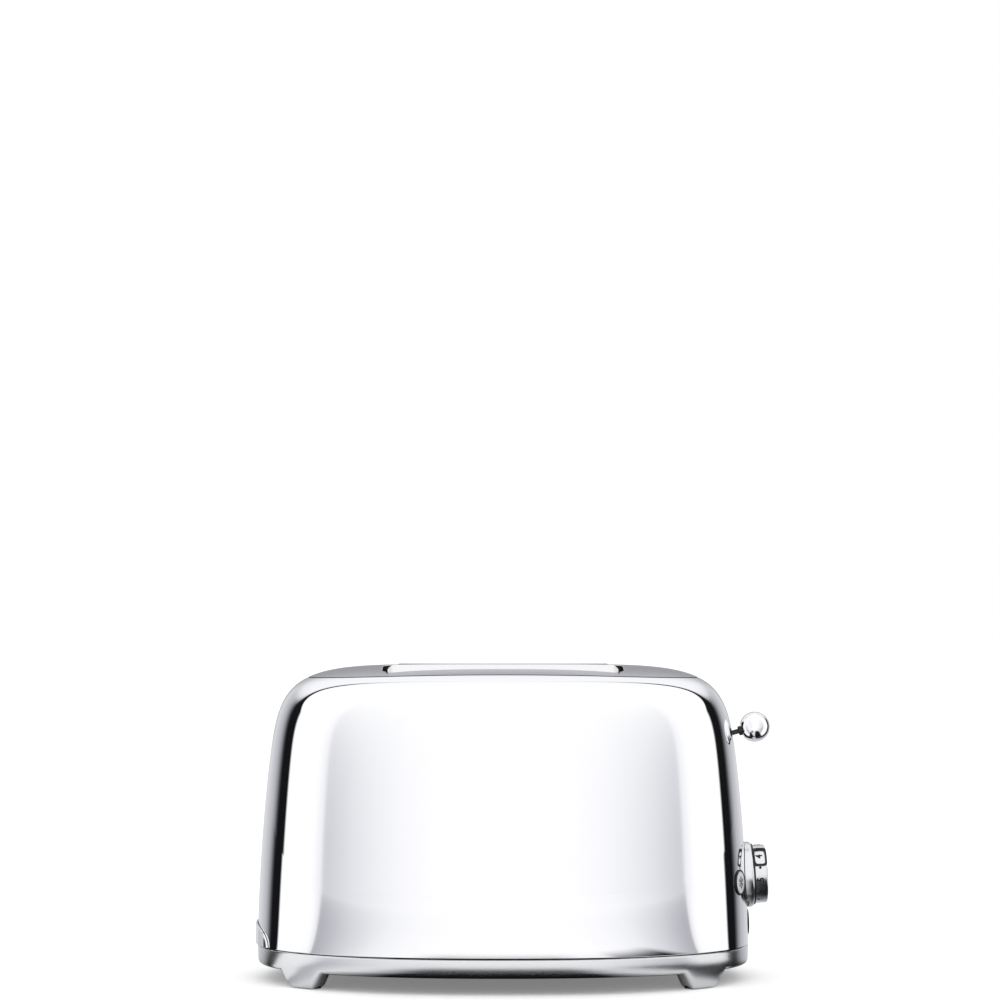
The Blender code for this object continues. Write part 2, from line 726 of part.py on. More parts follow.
def make_skirt():
    """The cast base ring with its inner flange and its four legs."""
    profile = [(SKIRT_CHAMFER, SKIRT_TOP), (0, SKIRT_TOP - SKIRT_CHAMFER)]
    for across_share, up_share in SKIRT_ROUND_SHARES:
        profile.append((across_share * SKIRT_ROUND, SKIRT_BOTTOM + up_share * SKIRT_ROUND))
    profile += [
        (SKIRT_LIP, SKIRT_BOTTOM),
        (SKIRT_LIP, FLANGE_BOTTOM),
        (FLANGE_WIDTH, FLANGE_BOTTOM),
        (FLANGE_WIDTH, FLANGE_BOTTOM + FLANGE_THICKNESS),
        (SKIRT_WALL, FLANGE_BOTTOM + FLANGE_THICKNESS),
        (SKIRT_WALL, SKIRT_TOP),
    ]
    sections = []
    for angle in ANGLES:
        section = []
        for inset, z in profile:
            x, y = power_curve(BODY_WIDTH / 2 - inset, BODY_DEPTH / 2 - inset, angle)
            section.append((x, y, z))
        sections.append(section)
    skirt = new_object("base_skirt", loft("base_skirt", sections, wrap=True), CAST_METAL)
    for place, (right, rear) in CORNERS.items():
        boolean(skirt, leg(f"leg_{place}", right, rear), "UNION")
    for place, (x, y) in screw_places().items():
        low, high = (x, y, PLATE_TOP), (x, y, FLANGE_BOTTOM + FLANGE_THICKNESS + CUT_OVERRUN)
        boolean(skirt, cylinder(f"flange_hole_{place}", low, high, SCREW_RADIUS + GAP, SCREW_STEPS))
    smooth(skirt)


CORNERS = {
    "front_left": (-1, -1),
    "front_right": (1, -1),
    "rear_left": (-1, 1),
    "rear_right": (1, 1),
}


def leg_arc(low, high, inset, z, right, rear):
    """Part of the base outline between two angles, on one corner of the body."""
    points = []
    for step in range(LEG_ARC_STEPS + 1):
        angle = math.radians(low + (high - low) * step / LEG_ARC_STEPS)
        x, y = power_curve(BODY_WIDTH / 2 - inset, BODY_DEPTH / 2 - inset, angle)
        points.append((x * right, y * rear, z))
    return points


def leg_section(share, depth, right, rear):
    """A leg's outline at a share of its height; the inner edge flares upwards."""
    foot_low, foot_high = LEG_FOOT_ANGLES
    top_low, top_high = LEG_TOP_ANGLES
    low = foot_low + (top_low - foot_low) * share
    high = foot_high + (top_high - foot_high) * share**2
    inset = LEG_SKIN_INSET + LEG_DRAFT * (1 - share)
    z = FOOT_Z + LEG_HEIGHT * share
    outer = leg_arc(low, high, inset, z, right, rear)
    inner = leg_arc(low, high, depth, z, right, rear)
    return outer + inner[::-1]


def leg(name, right, rear):
    """A leg with a sloping shelf on its inner side and a root inside the skirt's wall."""
    sections = [leg_section(share, LEG_DEPTH, right, rear) for share in LEG_LEVEL_SHARES]
    sections.append(leg_section(1, SKIRT_LIP - LEG_ROOT, right, rear))
    low, high = LEG_TOP_ANGLES
    top = SKIRT_BOTTOM + SKIRT_ROUND + LEG_ROOT
    outer = leg_arc(low, high, LEG_SKIN_INSET, top, right, rear)
    inner = leg_arc(low, high, SKIRT_WALL - LEG_SKIN_INSET, top, right, rear)
    sections.append(outer + inner[::-1])
    return new_object(name, loft(name, sections, caps=True))


def foot_place(right, rear):
    """The middle of a leg's foot."""
    angle = math.radians(sum(LEG_FOOT_ANGLES) / 2)
    inset = (LEG_SKIN_INSET + LEG_DRAFT + LEG_DEPTH) / 2
    x, y = power_curve(BODY_WIDTH / 2 - inset, BODY_DEPTH / 2 - inset, angle)
    return x * right, y * rear


def make_pads():
    for place, (right, rear) in CORNERS.items():
        x, y = foot_place(right, rear)
        cylinder(f"foot_pad_{place}", (x, y, 0), (x, y, PAD_HEIGHT), PAD_RADIUS, PAD_STEPS, BLACK_RUBBER)


def screw_places():
    """Screws run up into the skirt's flange, clear of its lower lip, at four places."""
    inset = PLATE_INSET + SCREW_HEAD_RADIUS + GAP
    y = outline_y(SCREW_OFFSET_X, SHELL_BASE, inset)
    return {place: (SCREW_OFFSET_X * right, y * rear) for place, (right, rear) in CORNERS.items()}


def make_bottom():
    """The bottom plate with vents and drawer rails, its screws and the cord inlet."""
    outline = []
    for step in range(PLATE_STEPS):
        angle = 2 * math.pi * step / PLATE_STEPS
        outline.append(power_curve(BODY_WIDTH / 2 - PLATE_INSET, BODY_DEPTH / 2 - PLATE_INSET, angle))
    holes = [circle(x, y, SCREW_RADIUS + GAP, SCREW_STEPS) for x, y in screw_places().values()]
    holes.append(circle(-GLAND_X, GLAND_Y, GLAND_RADIUS + GAP, GLAND_STEPS))
    for row in range(VENT_COUNT):
        x = (row - (VENT_COUNT - 1) / 2) * VENT_PITCH
        holes.append(rectangle(x - VENT_WIDTH / 2, -VENT_LENGTH / 2, x + VENT_WIDTH / 2, VENT_LENGTH / 2))
    bottom = plate("bottom_plate", outline, PLATE_BOTTOM, PLATE_TOP, "XY", ZINC_STEEL, holes)
    start = -outline_x(RAIL_SPACING / 2 + RAIL_THICKNESS, SHELL_BASE, FLANGE_WIDTH) + SLIDE_GAP
    for side, y in (("front", -RAIL_SPACING / 2), ("rear", RAIL_SPACING / 2)):
        low = (start, y - RAIL_THICKNESS / 2, PLATE_TOP - RAIL_ROOT)
        high = (CHAMBER_X - TRAY_BACK_ROOM, y + RAIL_THICKNESS / 2, PLATE_TOP + RAIL_HEIGHT)
        boolean(bottom, box(f"rail_{side}", low, high), "UNION")
    head_top = PLATE_BOTTOM - GAP
    for place, (x, y) in screw_places().items():
        name = f"base_screw_{place}"
        profile = [
            (0, head_top + SCREW_LENGTH),
            (SCREW_RADIUS, head_top + SCREW_LENGTH),
            (SCREW_RADIUS, head_top),
            (SCREW_HEAD_RADIUS, head_top),
            (SCREW_HEAD_RADIUS, head_top - SCREW_HEAD_HEIGHT),
            (0, head_top - SCREW_HEAD_HEIGHT),
        ]
        screw = turned(name, profile, SCREW_STEPS, ZINC_STEEL)
        screw.location = (x, y, 0)
    flange_top = PLATE_BOTTOM - GAP
    profile = [
        (GLAND_RADIUS, PLATE_TOP + GLAND_RISE),
        (GLAND_RADIUS, flange_top),
        (GLAND_RADIUS + GLAND_FLANGE, flange_top),
        (GLAND_RADIUS + GLAND_FLANGE, flange_top - GLAND_FLANGE_HEIGHT),
        (GLAND_BORE, flange_top - GLAND_FLANGE_HEIGHT),
        (GLAND_BORE, PLATE_TOP + GLAND_RISE),
    ]
    gland = turned("cord_gland", profile, GLAND_STEPS, BLACK_PLASTIC, closed=True)
    gland.location = (-GLAND_X, GLAND_Y, 0)
    length, depth, height = TERMINAL_SIZE
    low = Vector((-GLAND_X - length / 2, -GLAND_Y - depth / 2, STAND_Z))
    box("terminal_block", low, low + Vector((length, depth, height)), BLACK_PLASTIC)


def make_chamber():
    """Two end plates, two side sheets and the four heater boards between them."""
    for side, direction in (("left", -1), ("right", 1)):
        leg_edge = END_PLATE_Y - END_PLATE_LEG
        outline = [
            (-END_PLATE_Y, STAND_Z),
            (-leg_edge, STAND_Z),
            (-leg_edge, WINDOW_TOP),
            (leg_edge, WINDOW_TOP),
            (leg_edge, STAND_Z),
            (END_PLATE_Y, STAND_Z),
            (END_PLATE_Y, CHAMBER_TOP),
            (-END_PLATE_Y, CHAMBER_TOP),
        ]
        half_slot = RACK_SHEET / 2 + SLIDE_GAP
        low = RACK_BAR_BOTTOM - CARRIAGE_DROP - SLOT_END_ROOM
        high = RACK_BAR_TOP + CARRIAGE_LIFT + SLOT_END_ROOM
        holes = [rectangle(y - half_slot, low, y + half_slot, high) for y in (-SLOT_CENTRE_Y, SLOT_CENTRE_Y)]
        inner, outer = sorted((direction * CHAMBER_X, direction * (CHAMBER_X + CHAMBER_SHEET)))
        end = plate(f"chamber_end_{side}", outline, inner, outer, "YZ", ZINC_STEEL, holes)
        if direction > 0:
            low = (CHAMBER_X, -TOP_FLANGE_DEPTH / 2, CHAMBER_TOP - CHAMBER_SHEET)
            high = (CHAMBER_X + TOP_FLANGE_LENGTH, TOP_FLANGE_DEPTH / 2, CHAMBER_TOP)
            boolean(end, box("top_flange", low, high), "UNION")
    length = CHAMBER_X - GAP
    for side, direction in (("front", -1), ("rear", 1)):
        mouth_y = (TRAY_WIDTH / 2 - CHUTE_OVERHANG) * direction
        wall_y = SIDE_WALL_Y * direction
        path = [(wall_y, CHAMBER_TOP - GAP), (wall_y, CHUTE_MOUTH + CHUTE_FALL), (mouth_y, CHUTE_MOUTH)]
        points = [(x, y, z) for x in (-length, length) for y, z in path]
        bent = mesh_of(f"chamber_side_{side}", points, [(0, 1, 4, 3), (1, 2, 5, 4)])
        sheet = new_object(f"chamber_side_{side}", bent, SATIN_STEEL)
        solid = sheet.modifiers.new("sheet", "SOLIDIFY")
        solid.thickness = SIDE_SHEET
        solid.offset = 0
        solid.use_even_offset = True
    for name, y in (
        ("heater_front_outer", -HEATER_OUTER_Y),
        ("heater_front_inner", -HEATER_INNER_Y),
        ("heater_rear_inner", HEATER_INNER_Y),
        ("heater_rear_outer", HEATER_OUTER_Y),
    ):
        half = HEATER_THICKNESS / 2
        outline = rectangle(-length, HEATER_BOTTOM, length, HEATER_TOP)
        plate(name, outline, -y - half, -y + half, "XZ", MICA)


def make_guards():
    """Four pressed grids that keep the bread off the heaters, hinged at the bottom."""
    for name, y in (
        ("bread_guard_front_outer", -GUARD_OUTER_Y),
        ("bread_guard_front_inner", -GUARD_INNER_Y),
        ("bread_guard_rear_inner", GUARD_INNER_Y),
        ("bread_guard_rear_outer", GUARD_OUTER_Y),
    ):
        half = GUARD_BAR / 2
        axle = CHAMBER_X - GAP
        side = CHAMBER_X - GUARD_END_INSET
        top = GUARD_TOP - GUARD_HINGE_Z
        outline = [(-axle, -half), (axle, -half), (axle, half), (side, half)]
        outline += [(side, top), (-side, top), (-side, half), (-axle, half)]
        pitch = (2 * side - GUARD_BAR) / (GUARD_BAR_COUNT - 1)
        holes = []
        for bay in range(GUARD_BAR_COUNT - 1):
            left = -side + GUARD_BAR + bay * pitch
            holes.append(rectangle(left, half, left + pitch - GUARD_BAR, top - GUARD_BAR))
        hinge = pivot(f"{name}_hinge", (0, y, GUARD_HINGE_Z))
        grid = plate(name, outline, -half, half, "XZ", SATIN_STEEL, holes)
        grid.parent = bpy.data.objects[hinge]


def make_carriage():
    """The sliding bracket on its two rods, with the racks, spring and catch plate."""
    slide = pivot("carriage_slide", (ROD_X, 0, CARRIAGE_Z))
    half_plate = CARRIAGE_PLATE_HEIGHT / 2
    wing = SLOT_CENTRE_Y + CARRIAGE_PLATE_MARGIN
    low = (CARRIAGE_X, -wing, CARRIAGE_Z - half_plate)
    high = (CARRIAGE_X + CARRIAGE_PLATE, wing, CARRIAGE_Z + half_plate)
    bracket = box("carriage_bracket", low, high, ZINC_STEEL)
    block_y = ROD_SPACING / 2 + CARRIAGE_BLOCK_MARGIN
    low = (CARRIAGE_X + CARRIAGE_PLATE / 2, -block_y, BLOCK_BOTTOM)
    boolean(bracket, box("carriage_block", low, (CARRIAGE_FRONT_X, block_y, BLOCK_TOP)), "UNION")
    rod_top = CHAMBER_TOP - CHAMBER_SHEET - GAP
    for side, y in (("front", -ROD_SPACING / 2), ("rear", ROD_SPACING / 2)):
        low, high = (ROD_X, y, BLOCK_BOTTOM - CUT_OVERRUN), (ROD_X, y, BLOCK_TOP + CUT_OVERRUN)
        boolean(bracket, cylinder(f"rod_bore_{side}", low, high, ROD_RADIUS + ROD_GAP, ROD_STEPS))
        low, high = (ROD_X, y, STAND_Z), (ROD_X, y, rod_top)
        cylinder(f"guide_rod_{side}", low, high, ROD_RADIUS, ROD_STEPS, POLISHED_STEEL)
    carry(bracket, slide)
    make_spring(BLOCK_TOP + GAP, rod_top)
    for side, y in (("front", -SLOT_CENTRE_Y), ("rear", SLOT_CENTRE_Y)):
        carry(make_rack(f"bread_rack_{side}", y), slide)
    low = (CATCH_X, -CATCH_DEPTH / 2, CATCH_BOTTOM)
    high = (CATCH_X + CATCH_THICKNESS, CATCH_DEPTH / 2, BLOCK_BOTTOM + CATCH_OVERLAP)
    catch = box("catch_plate", low, high, ZINC_STEEL)
    foot_high = (CATCH_X + CATCH_REACH, CATCH_DEPTH / 2, CATCH_BOTTOM + CATCH_THICKNESS)
    boolean(catch, box("catch_foot", low, foot_high), "UNION")
    carry(catch, slide)
    low = (CATCH_X + MAGNET_INSET, -MAGNET_DEPTH / 2, STAND_Z)
    box("latch_magnet", low, (CATCH_X + CATCH_REACH, MAGNET_DEPTH / 2, MAGNET_TOP), COIL_COPPER)


def make_rack(name, y):
    """A rack: cross fingers on top of an upright bar that runs out through both ends."""
    low = (-CHAMBER_X - CHAMBER_SHEET - RACK_TAIL, y - RACK_SHEET / 2, RACK_BAR_BOTTOM)
    high = (CARRIAGE_X - GAP, y + RACK_SHEET / 2, RACK_BAR_TOP)
    rack = box(name, low, high, SATIN_STEEL)
    reach = SLOT_LENGTH / 2 - RACK_END_ROOM
    half = RACK_FINGER_LENGTH / 2
    pitch = (2 * reach - RACK_FINGER_WIDTH) / (RACK_FINGER_COUNT - 1)
    low = (-reach, y - half, RACK_TOP - RACK_SHEET)
    high = (-reach + RACK_FINGER_WIDTH, y + half, RACK_TOP)
    places = [(finger * pitch, 0, 0) for finger in range(RACK_FINGER_COUNT)]
    return boolean(rack, box(f"{name}_fingers", low, high, places=places), "UNION")


def make_spring(low, high):
    """The return spring between the carriage and the chamber's top flange."""
    curve = bpy.data.curves.new("return_spring", "CURVE")
    curve.dimensions = "3D"
    curve.bevel_depth = SPRING_WIRE
    curve.bevel_resolution = 1
    curve.use_fill_caps = True
    spline = curve.splines.new("POLY")
    count = SPRING_TURNS * SPRING_POINTS_PER_TURN
    spline.points.add(count)
    for step in range(count + 1):
        turn = 2 * math.pi * step / SPRING_POINTS_PER_TURN
        rise = low + SPRING_WIRE + (high - low - 2 * SPRING_WIRE) * step / count
        across = ROD_X + SPRING_RADIUS * math.cos(turn)
        spline.points[step].co = (across, SPRING_RADIUS * math.sin(turn), rise, 1)
    coil = bpy.data.objects.new("return_spring", curve)
    bpy.data.collections["cutters"].objects.link(coil)
    smooth(solid_from_curve(coil, DARK_STEEL))


def lever_line():
    """The ball's centre and the direction in which the arm rises towards it."""
    ball = Vector((half_width(BALL_Z) + BALL_OUT, 0, BALL_Z))
    slope = math.radians(ARM_SLOPE)
    return ball, Vector((math.cos(slope), 0, math.sin(slope)))


def lever_slot_ends():
    """Lowest and highest height of the slot, which clears the arm over its travel."""
    ball, rise = lever_line()
    fall = rise.z / rise.x
    walls = SHELL_WALL + TRIM_THICKNESS + 2 * GAP
    room = ARM_HALF_HEIGHT + SLOT_END_ROOM
    low = ball.z - (BALL_OUT + walls) * fall - CARRIAGE_DROP - room
    high = ball.z - BALL_OUT * fall + CARRIAGE_LIFT + room
    return low, high


def lever_slot_cutter(name, width):
    low, high = lever_slot_ends()
    start = half_width(high) - BALL_OUT
    return box(name, (start, -width / 2, low), (DIAL_REACH, width / 2, high))


def make_lever():
    """The arm from the carriage, the black collar and the polished ball."""
    ball, rise = lever_line()
    side = Vector((-rise.z, 0, rise.x))
    end = ball - rise * (BALL_FLAT + GAP)
    shoulder = end - rise * ARM_STEM_LENGTH
    knee_x = CATCH_X + ARM_WIDTH / 2
    knee = ball - rise * ((ball.x - knee_x) / rise.x)
    low_z = BLOCK_BOTTOM + CATCH_OVERLAP + GAP
    outer_x = CATCH_X + ARM_WIDTH
    under = knee + rise * ((outer_x - knee.x) / rise.x) - side * (ARM_HALF_HEIGHT / rise.x)
    over = knee + rise * ((CATCH_X - knee.x) / rise.x) + side * (ARM_HALF_HEIGHT / rise.x)
    points = [
        Vector((CATCH_X, 0, low_z)),
        Vector((outer_x, 0, low_z)),
        Vector((outer_x, 0, under.z)),
        shoulder - side * ARM_HALF_HEIGHT,
        shoulder + rise * ARM_HALF_HEIGHT - side * ARM_STEM_HALF,
        end - side * ARM_STEM_HALF,
        end + side * ARM_STEM_HALF,
        shoulder + rise * ARM_HALF_HEIGHT + side * ARM_STEM_HALF,
        shoulder + side * ARM_HALF_HEIGHT,
        Vector((CATCH_X, 0, over.z)),
    ]
    outline = [(point.x, point.z) for point in points]
    arm = plate("lever_arm", outline, -ARM_THICKNESS / 2, ARM_THICKNESS / 2, "XZ", ZINC_STEEL)
    carry(arm, "carriage_slide")

    profile = [(0, BALL_RADIUS)]
    for step in range(1, BALL_STEPS // 2):
        turn = math.pi * step / (BALL_STEPS // 2)
        if BALL_RADIUS * math.cos(turn) > -BALL_FLAT:
            profile.append((BALL_RADIUS * math.sin(turn), BALL_RADIUS * math.cos(turn)))
    profile.append((math.sqrt(BALL_RADIUS**2 - BALL_FLAT**2), -BALL_FLAT))
    profile.append((0, -BALL_FLAT))
    knob = turned("ball_knob", profile, BALL_STEPS, POLISHED_STEEL)
    back = BALL_FLAT + GAP
    profile = [
        (COLLAR_RADIUS, -back),
        (COLLAR_RADIUS - COLLAR_TAPER, -back - COLLAR_LENGTH),
        (COLLAR_BORE, -back - COLLAR_LENGTH),
        (COLLAR_BORE, -back),
    ]
    collar = turned("ball_collar", profile, PAD_STEPS, BLACK_PLASTIC, closed=True)
    for piece in (knob, collar):
        piece.rotation_mode = "QUATERNION"
        piece.rotation_quaternion = rise.to_track_quat("Z", "Y")
        piece.location = ball
        carry(piece, "carriage_slide")

    low, high = lever_slot_ends()
    half = LEVER_SLOT_WIDTH / 2 + TRIM_BORDER
    outline = []
    for inset in (SHELL_WALL + 2 * GAP, SHELL_WALL + 2 * GAP + TRIM_THICKNESS):
        side_points = []
        for step in range(TRIM_POINTS + 1):
            z = low - TRIM_MARGIN + (high - low + 2 * TRIM_MARGIN) * step / TRIM_POINTS
            side_points.append((outline_x(half, z) - inset, z))
        outline += side_points if not outline else side_points[::-1]
    trim = plate("lever_slot_trim", outline, -half, half, "XZ", BLACK_PLASTIC)
    boolean(trim, lever_slot_cutter("trim_lever_slot", TRIM_SLOT_WIDTH))


def skin_frame(y, z):
    """A frame on the body's right end: its local z points straight out of the skin."""
    x = outline_x(y, z)
    step = GAP
    across = Vector((outline_x(y + step, z) - outline_x(y - step, z), 2 * step, 0)).normalized()
    upward = Vector((outline_x(y, z + step) - outline_x(y, z - step), 0, 2 * step)).normalized()
    outward = across.cross(upward).normalized()
    upward = outward.cross(across)
    frame = Matrix((across, upward, outward)).transposed().to_4x4()
    frame.translation = (x, y, z)
    return frame


def height_over_skin(frame, across, up):
    """Local height of the skin over a place of such a frame."""
    reach = BUTTON_RING_RADIUS + BEZEL_HUB_RADIUS
    return bisect(lambda height: inside_body(*(frame @ Vector((across, up, height)))), -reach, reach)


def button_frames():
    return {
        "defrost": skin_frame(-SIDE_BUTTON_Y, SIDE_BUTTON_Z),
        "bagel": skin_frame(0, LOW_BUTTON_Z),
        "reheat": skin_frame(SIDE_BUTTON_Y, SIDE_BUTTON_Z),
    }


def seated_ring(name, frame, profile, steps, look):
    """A turned ring whose back edge follows the shell; None marks a seated height."""
    sections = []
    for step in range(steps):
        turn = 2 * math.pi * step / steps
        section = []
        for radius, height in profile:
            across, up = radius * math.cos(turn), radius * math.sin(turn)
            if height is None:
                height = height_over_skin(frame, across, up) + GAP
            section.append((across, up, height))
        sections.append(section)
    ring = new_object(name, loft(name, sections, wrap=True), look)
    ring.matrix_local = frame
    return smooth(ring)


def make_dial():
    """The bezel, the dial with its index window, its shaft and the potentiometer."""
    frame = skin_frame(0, DIAL_Z)
    back = DIAL_BACK_OUT
    outer = DIAL_RADIUS + BEZEL_RIM
    inner = DIAL_RADIUS + BEZEL_CHAMFER
    front = back + BEZEL_LIP
    bore = SHAFT_RADIUS + GAP
    profile = [
        (BEZEL_HUB_RADIUS, None),
        (outer, None),
        (outer, front - BEZEL_CHAMFER),
        (outer - BEZEL_CHAMFER, front),
        (inner, front),
        (inner, back - GAP),
        (bore, back - GAP),
        (bore, -BEZEL_HUB_DEPTH),
        (BEZEL_HUB_RADIUS, -BEZEL_HUB_DEPTH),
    ]
    seated_ring("dial_bezel", frame, profile, DIAL_STEPS, POLISHED_STEEL)

    turn_axis = pivot("dial_axis", frame @ Vector((0, 0, back)))
    socket = SHAFT_RADIUS + GAP
    profile = [
        (0, DIAL_LENGTH - DIAL_DISH),
        (DIAL_RADIUS - DIAL_RIM - DIAL_DISH, DIAL_LENGTH - DIAL_DISH),
        (DIAL_RADIUS - DIAL_RIM, DIAL_LENGTH),
        (DIAL_RADIUS - DIAL_CHAMFER, DIAL_LENGTH),
        (DIAL_RADIUS, DIAL_LENGTH - DIAL_CHAMFER),
        (DIAL_RADIUS, 0),
        (socket, 0),
        (socket, SHAFT_SOCKET + GAP),
        (0, SHAFT_SOCKET + GAP),
    ]
    dial = turned("browning_dial", profile, DIAL_STEPS, SATIN_STEEL)
    dial.parent = bpy.data.objects[turn_axis]
    dial.matrix_local = frame.to_3x3().to_4x4()
    seat_x = BOARD_FACE_X + GAP + POT_RADIUS * math.sin(DIAL_LEAN)
    seat = (seat_x - frame.translation.x) / math.cos(DIAL_LEAN)
    pot_ends = [frame @ Vector((0, 0, height)) for height in (seat, seat + POT_LENGTH)]
    cylinder("potentiometer", *pot_ends, POT_RADIUS, DIAL_STEPS // 2, ZINC_STEEL)
    heights = seat + POT_LENGTH + GAP, back + SHAFT_SOCKET
    shaft_ends = [frame @ Vector((0, 0, height)) for height in heights]
    carry(cylinder("dial_shaft", *shaft_ends, SHAFT_RADIUS, ROD_STEPS, ZINC_STEEL), turn_axis)

    low = back + BEZEL_LIP + GAP
    inner = DIAL_RADIUS + GAP
    profile = [
        (inner + WINDOW_THICKNESS, DIAL_FACE_OUT),
        (inner + WINDOW_THICKNESS, low),
        (inner, low),
        (inner, DIAL_FACE_OUT),
    ]
    window = turned("index_window", profile, DIAL_STEPS, BLACK_PLASTIC, closed=True)
    window.matrix_local = frame
    reach = inner + WINDOW_THICKNESS + CUT_OVERRUN
    half, hole_half = WINDOW_WIDTH / 2, WINDOW_WIDTH / 2 - WINDOW_FRAME
    frame_cutters = (
        ("window_outline", half, low - CUT_OVERRUN, DIAL_FACE_OUT + CUT_OVERRUN, "INTERSECT"),
        ("window_hole", hole_half, low + WINDOW_FRAME, DIAL_FACE_OUT - WINDOW_FRAME, "DIFFERENCE"),
    )
    for name, half_cut, start, stop, operation in frame_cutters:
        cutter = box(name, (-half_cut, 0, start), (half_cut, reach, stop))
        turn = Matrix.Rotation(math.radians(90 - WINDOW_ANGLE), 4, "Z")
        cutter.matrix_local = frame @ turn @ Matrix.Translation(cutter.location)
        boolean(window, cutter, operation)


def make_buttons():
    """Three programme buttons in black rings, each pressing a switch on the board."""
    for side, frame in button_frames().items():
        sleeve = BUTTON_RADIUS + BUTTON_SLEEVE + GAP
        bore = BUTTON_RADIUS + GAP
        ring_profile = [
            (sleeve, None),
            (BUTTON_RING_RADIUS, None),
            (BUTTON_RING_RADIUS, BUTTON_RING_PROUD),
            (BUTTON_RING_RADIUS - BUTTON_CHAMFER, BUTTON_RING_PROUD + BUTTON_CHAMFER / 2),
            (bore, BUTTON_RING_PROUD + BUTTON_CHAMFER / 2),
            (bore, -BUTTON_SLEEVE_DEPTH),
            (sleeve, -BUTTON_SLEEVE_DEPTH),
        ]
        seated_ring(f"button_ring_{side}", frame, ring_profile, BUTTON_STEPS, BLACK_PLASTIC)
        inward = -frame.col[2].to_3d()
        start = frame.translation
        stem_room = BUTTON_TRAVEL + GAP
        switch_x = BOARD_FACE_X + GAP
        run = (start.x - switch_x - SWITCH_HEIGHT) / -inward.x
        switch_centre = start + inward * run
        stem_end = -(run - stem_room - BUTTON_STEM_RADIUS * math.hypot(inward.y, inward.z))
        press = pivot(f"button_{side}_press", start)
        profile = [
            (0, BUTTON_PROUD),
            (BUTTON_RADIUS - BUTTON_CHAMFER, BUTTON_PROUD),
            (BUTTON_RADIUS, BUTTON_PROUD - BUTTON_CHAMFER),
            (BUTTON_RADIUS, BUTTON_PROUD - BUTTON_CAP_DEPTH),
            (BUTTON_STEM_RADIUS, BUTTON_PROUD - BUTTON_CAP_DEPTH),
            (BUTTON_STEM_RADIUS, stem_end),
            (0, stem_end),
        ]
        cap = turned(f"button_{side}", profile, BUTTON_STEPS, SATIN_STEEL)
        cap.parent = bpy.data.objects[press]
        cap.matrix_local = frame.to_3x3().to_4x4()
        half = SWITCH_SIZE / 2
        low = (switch_x, switch_centre.y - half, switch_centre.z - half)
        high = (switch_x + SWITCH_HEIGHT, switch_centre.y + half, switch_centre.z + half)
        box(f"switch_{side}", low, high, BLACK_PLASTIC)
    low = (BOARD_X, -BOARD_DEPTH / 2, STAND_Z)
    box("control_board", low, (BOARD_FACE_X, BOARD_DEPTH / 2, BOARD_TOP), BOARD_GREEN)


def make_drawer():
    """The crumb tray and the arched handle that closes its mouth in the shell."""
    slide = pivot("crumb_drawer_slide", (-HANDLE_REACH, 0, TRAY_BOTTOM))
    half = TRAY_WIDTH / 2
    left = -(BODY_WIDTH / 2 - TRAY_SET_IN)
    right = CHAMBER_X - TRAY_BACK_ROOM
    tray = box("crumb_tray", (left, -half, TRAY_BOTTOM), (right, half, TRAY_TOP), SATIN_STEEL)
    hollow_low = (left + TRAY_SHEET, -half + TRAY_SHEET, TRAY_BOTTOM + TRAY_SHEET)
    hollow_high = (right - TRAY_SHEET, half - TRAY_SHEET, TRAY_TOP + CUT_OVERRUN)
    boolean(tray, box("tray_hollow", hollow_low, hollow_high))
    carry(tray, slide)

    base = SHELL_BASE + GAP
    outer = -HANDLE_REACH - CUT_OVERRUN
    top = base + MOUTH_HEIGHT + HANDLE_TOP_LAP + CUT_OVERRUN
    levels = [base - CUT_OVERRUN, base, base + MOUTH_HEIGHT / 2, top]
    skins = {}
    offsets = {"handle_face": HANDLE_PROUD, "handle_back": GAP, "plug_face": HANDLE_PROUD / 2}
    for skin, offset in offsets.items():
        skins[skin] = new_object(skin, loft(skin, [skin_ring(z, offset) for z in levels], caps=True))
    flange = arch(half + MOUTH_SIDE_ROOM + HANDLE_SIDE_LAP, base, MOUTH_HEIGHT + HANDLE_TOP_LAP, HANDLE_POWER)
    handle = plate("crumb_tray_handle", flange, outer, -CHAMBER_X, "YZ", POLISHED_STEEL)
    boolean(handle, skins["handle_face"], "INTERSECT")
    boolean(handle, skins["handle_back"])
    plug_y = half + MOUTH_SIDE_ROOM - PLUG_SIDE_ROOM
    low = (outer, -plug_y, TRAY_BOTTOM)
    plug = box("handle_plug", low, (left - GAP, plug_y, TRAY_TOP))
    boolean(plug, skins["plug_face"], "INTERSECT")
    boolean(handle, plug, "UNION")
    carry(handle, slide)
    smooth(handle)


start_scene()
make_shell()
make_deck()
make_skirt()
make_pads()
make_bottom()
make_chamber()
make_guards()
make_carriage()
make_lever()
make_dial()
make_buttons()
make_drawer()
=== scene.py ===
"""A two-slice toaster with a polished steel shell, dressed over its CAD frame.

Metres, +Z up. The front faces -Y, the lever and the dial are at the +X end, and the
crumb drawer comes out at the -X end.
"""

import math

import bmesh
import bpy
from mathutils import Matrix, Vector


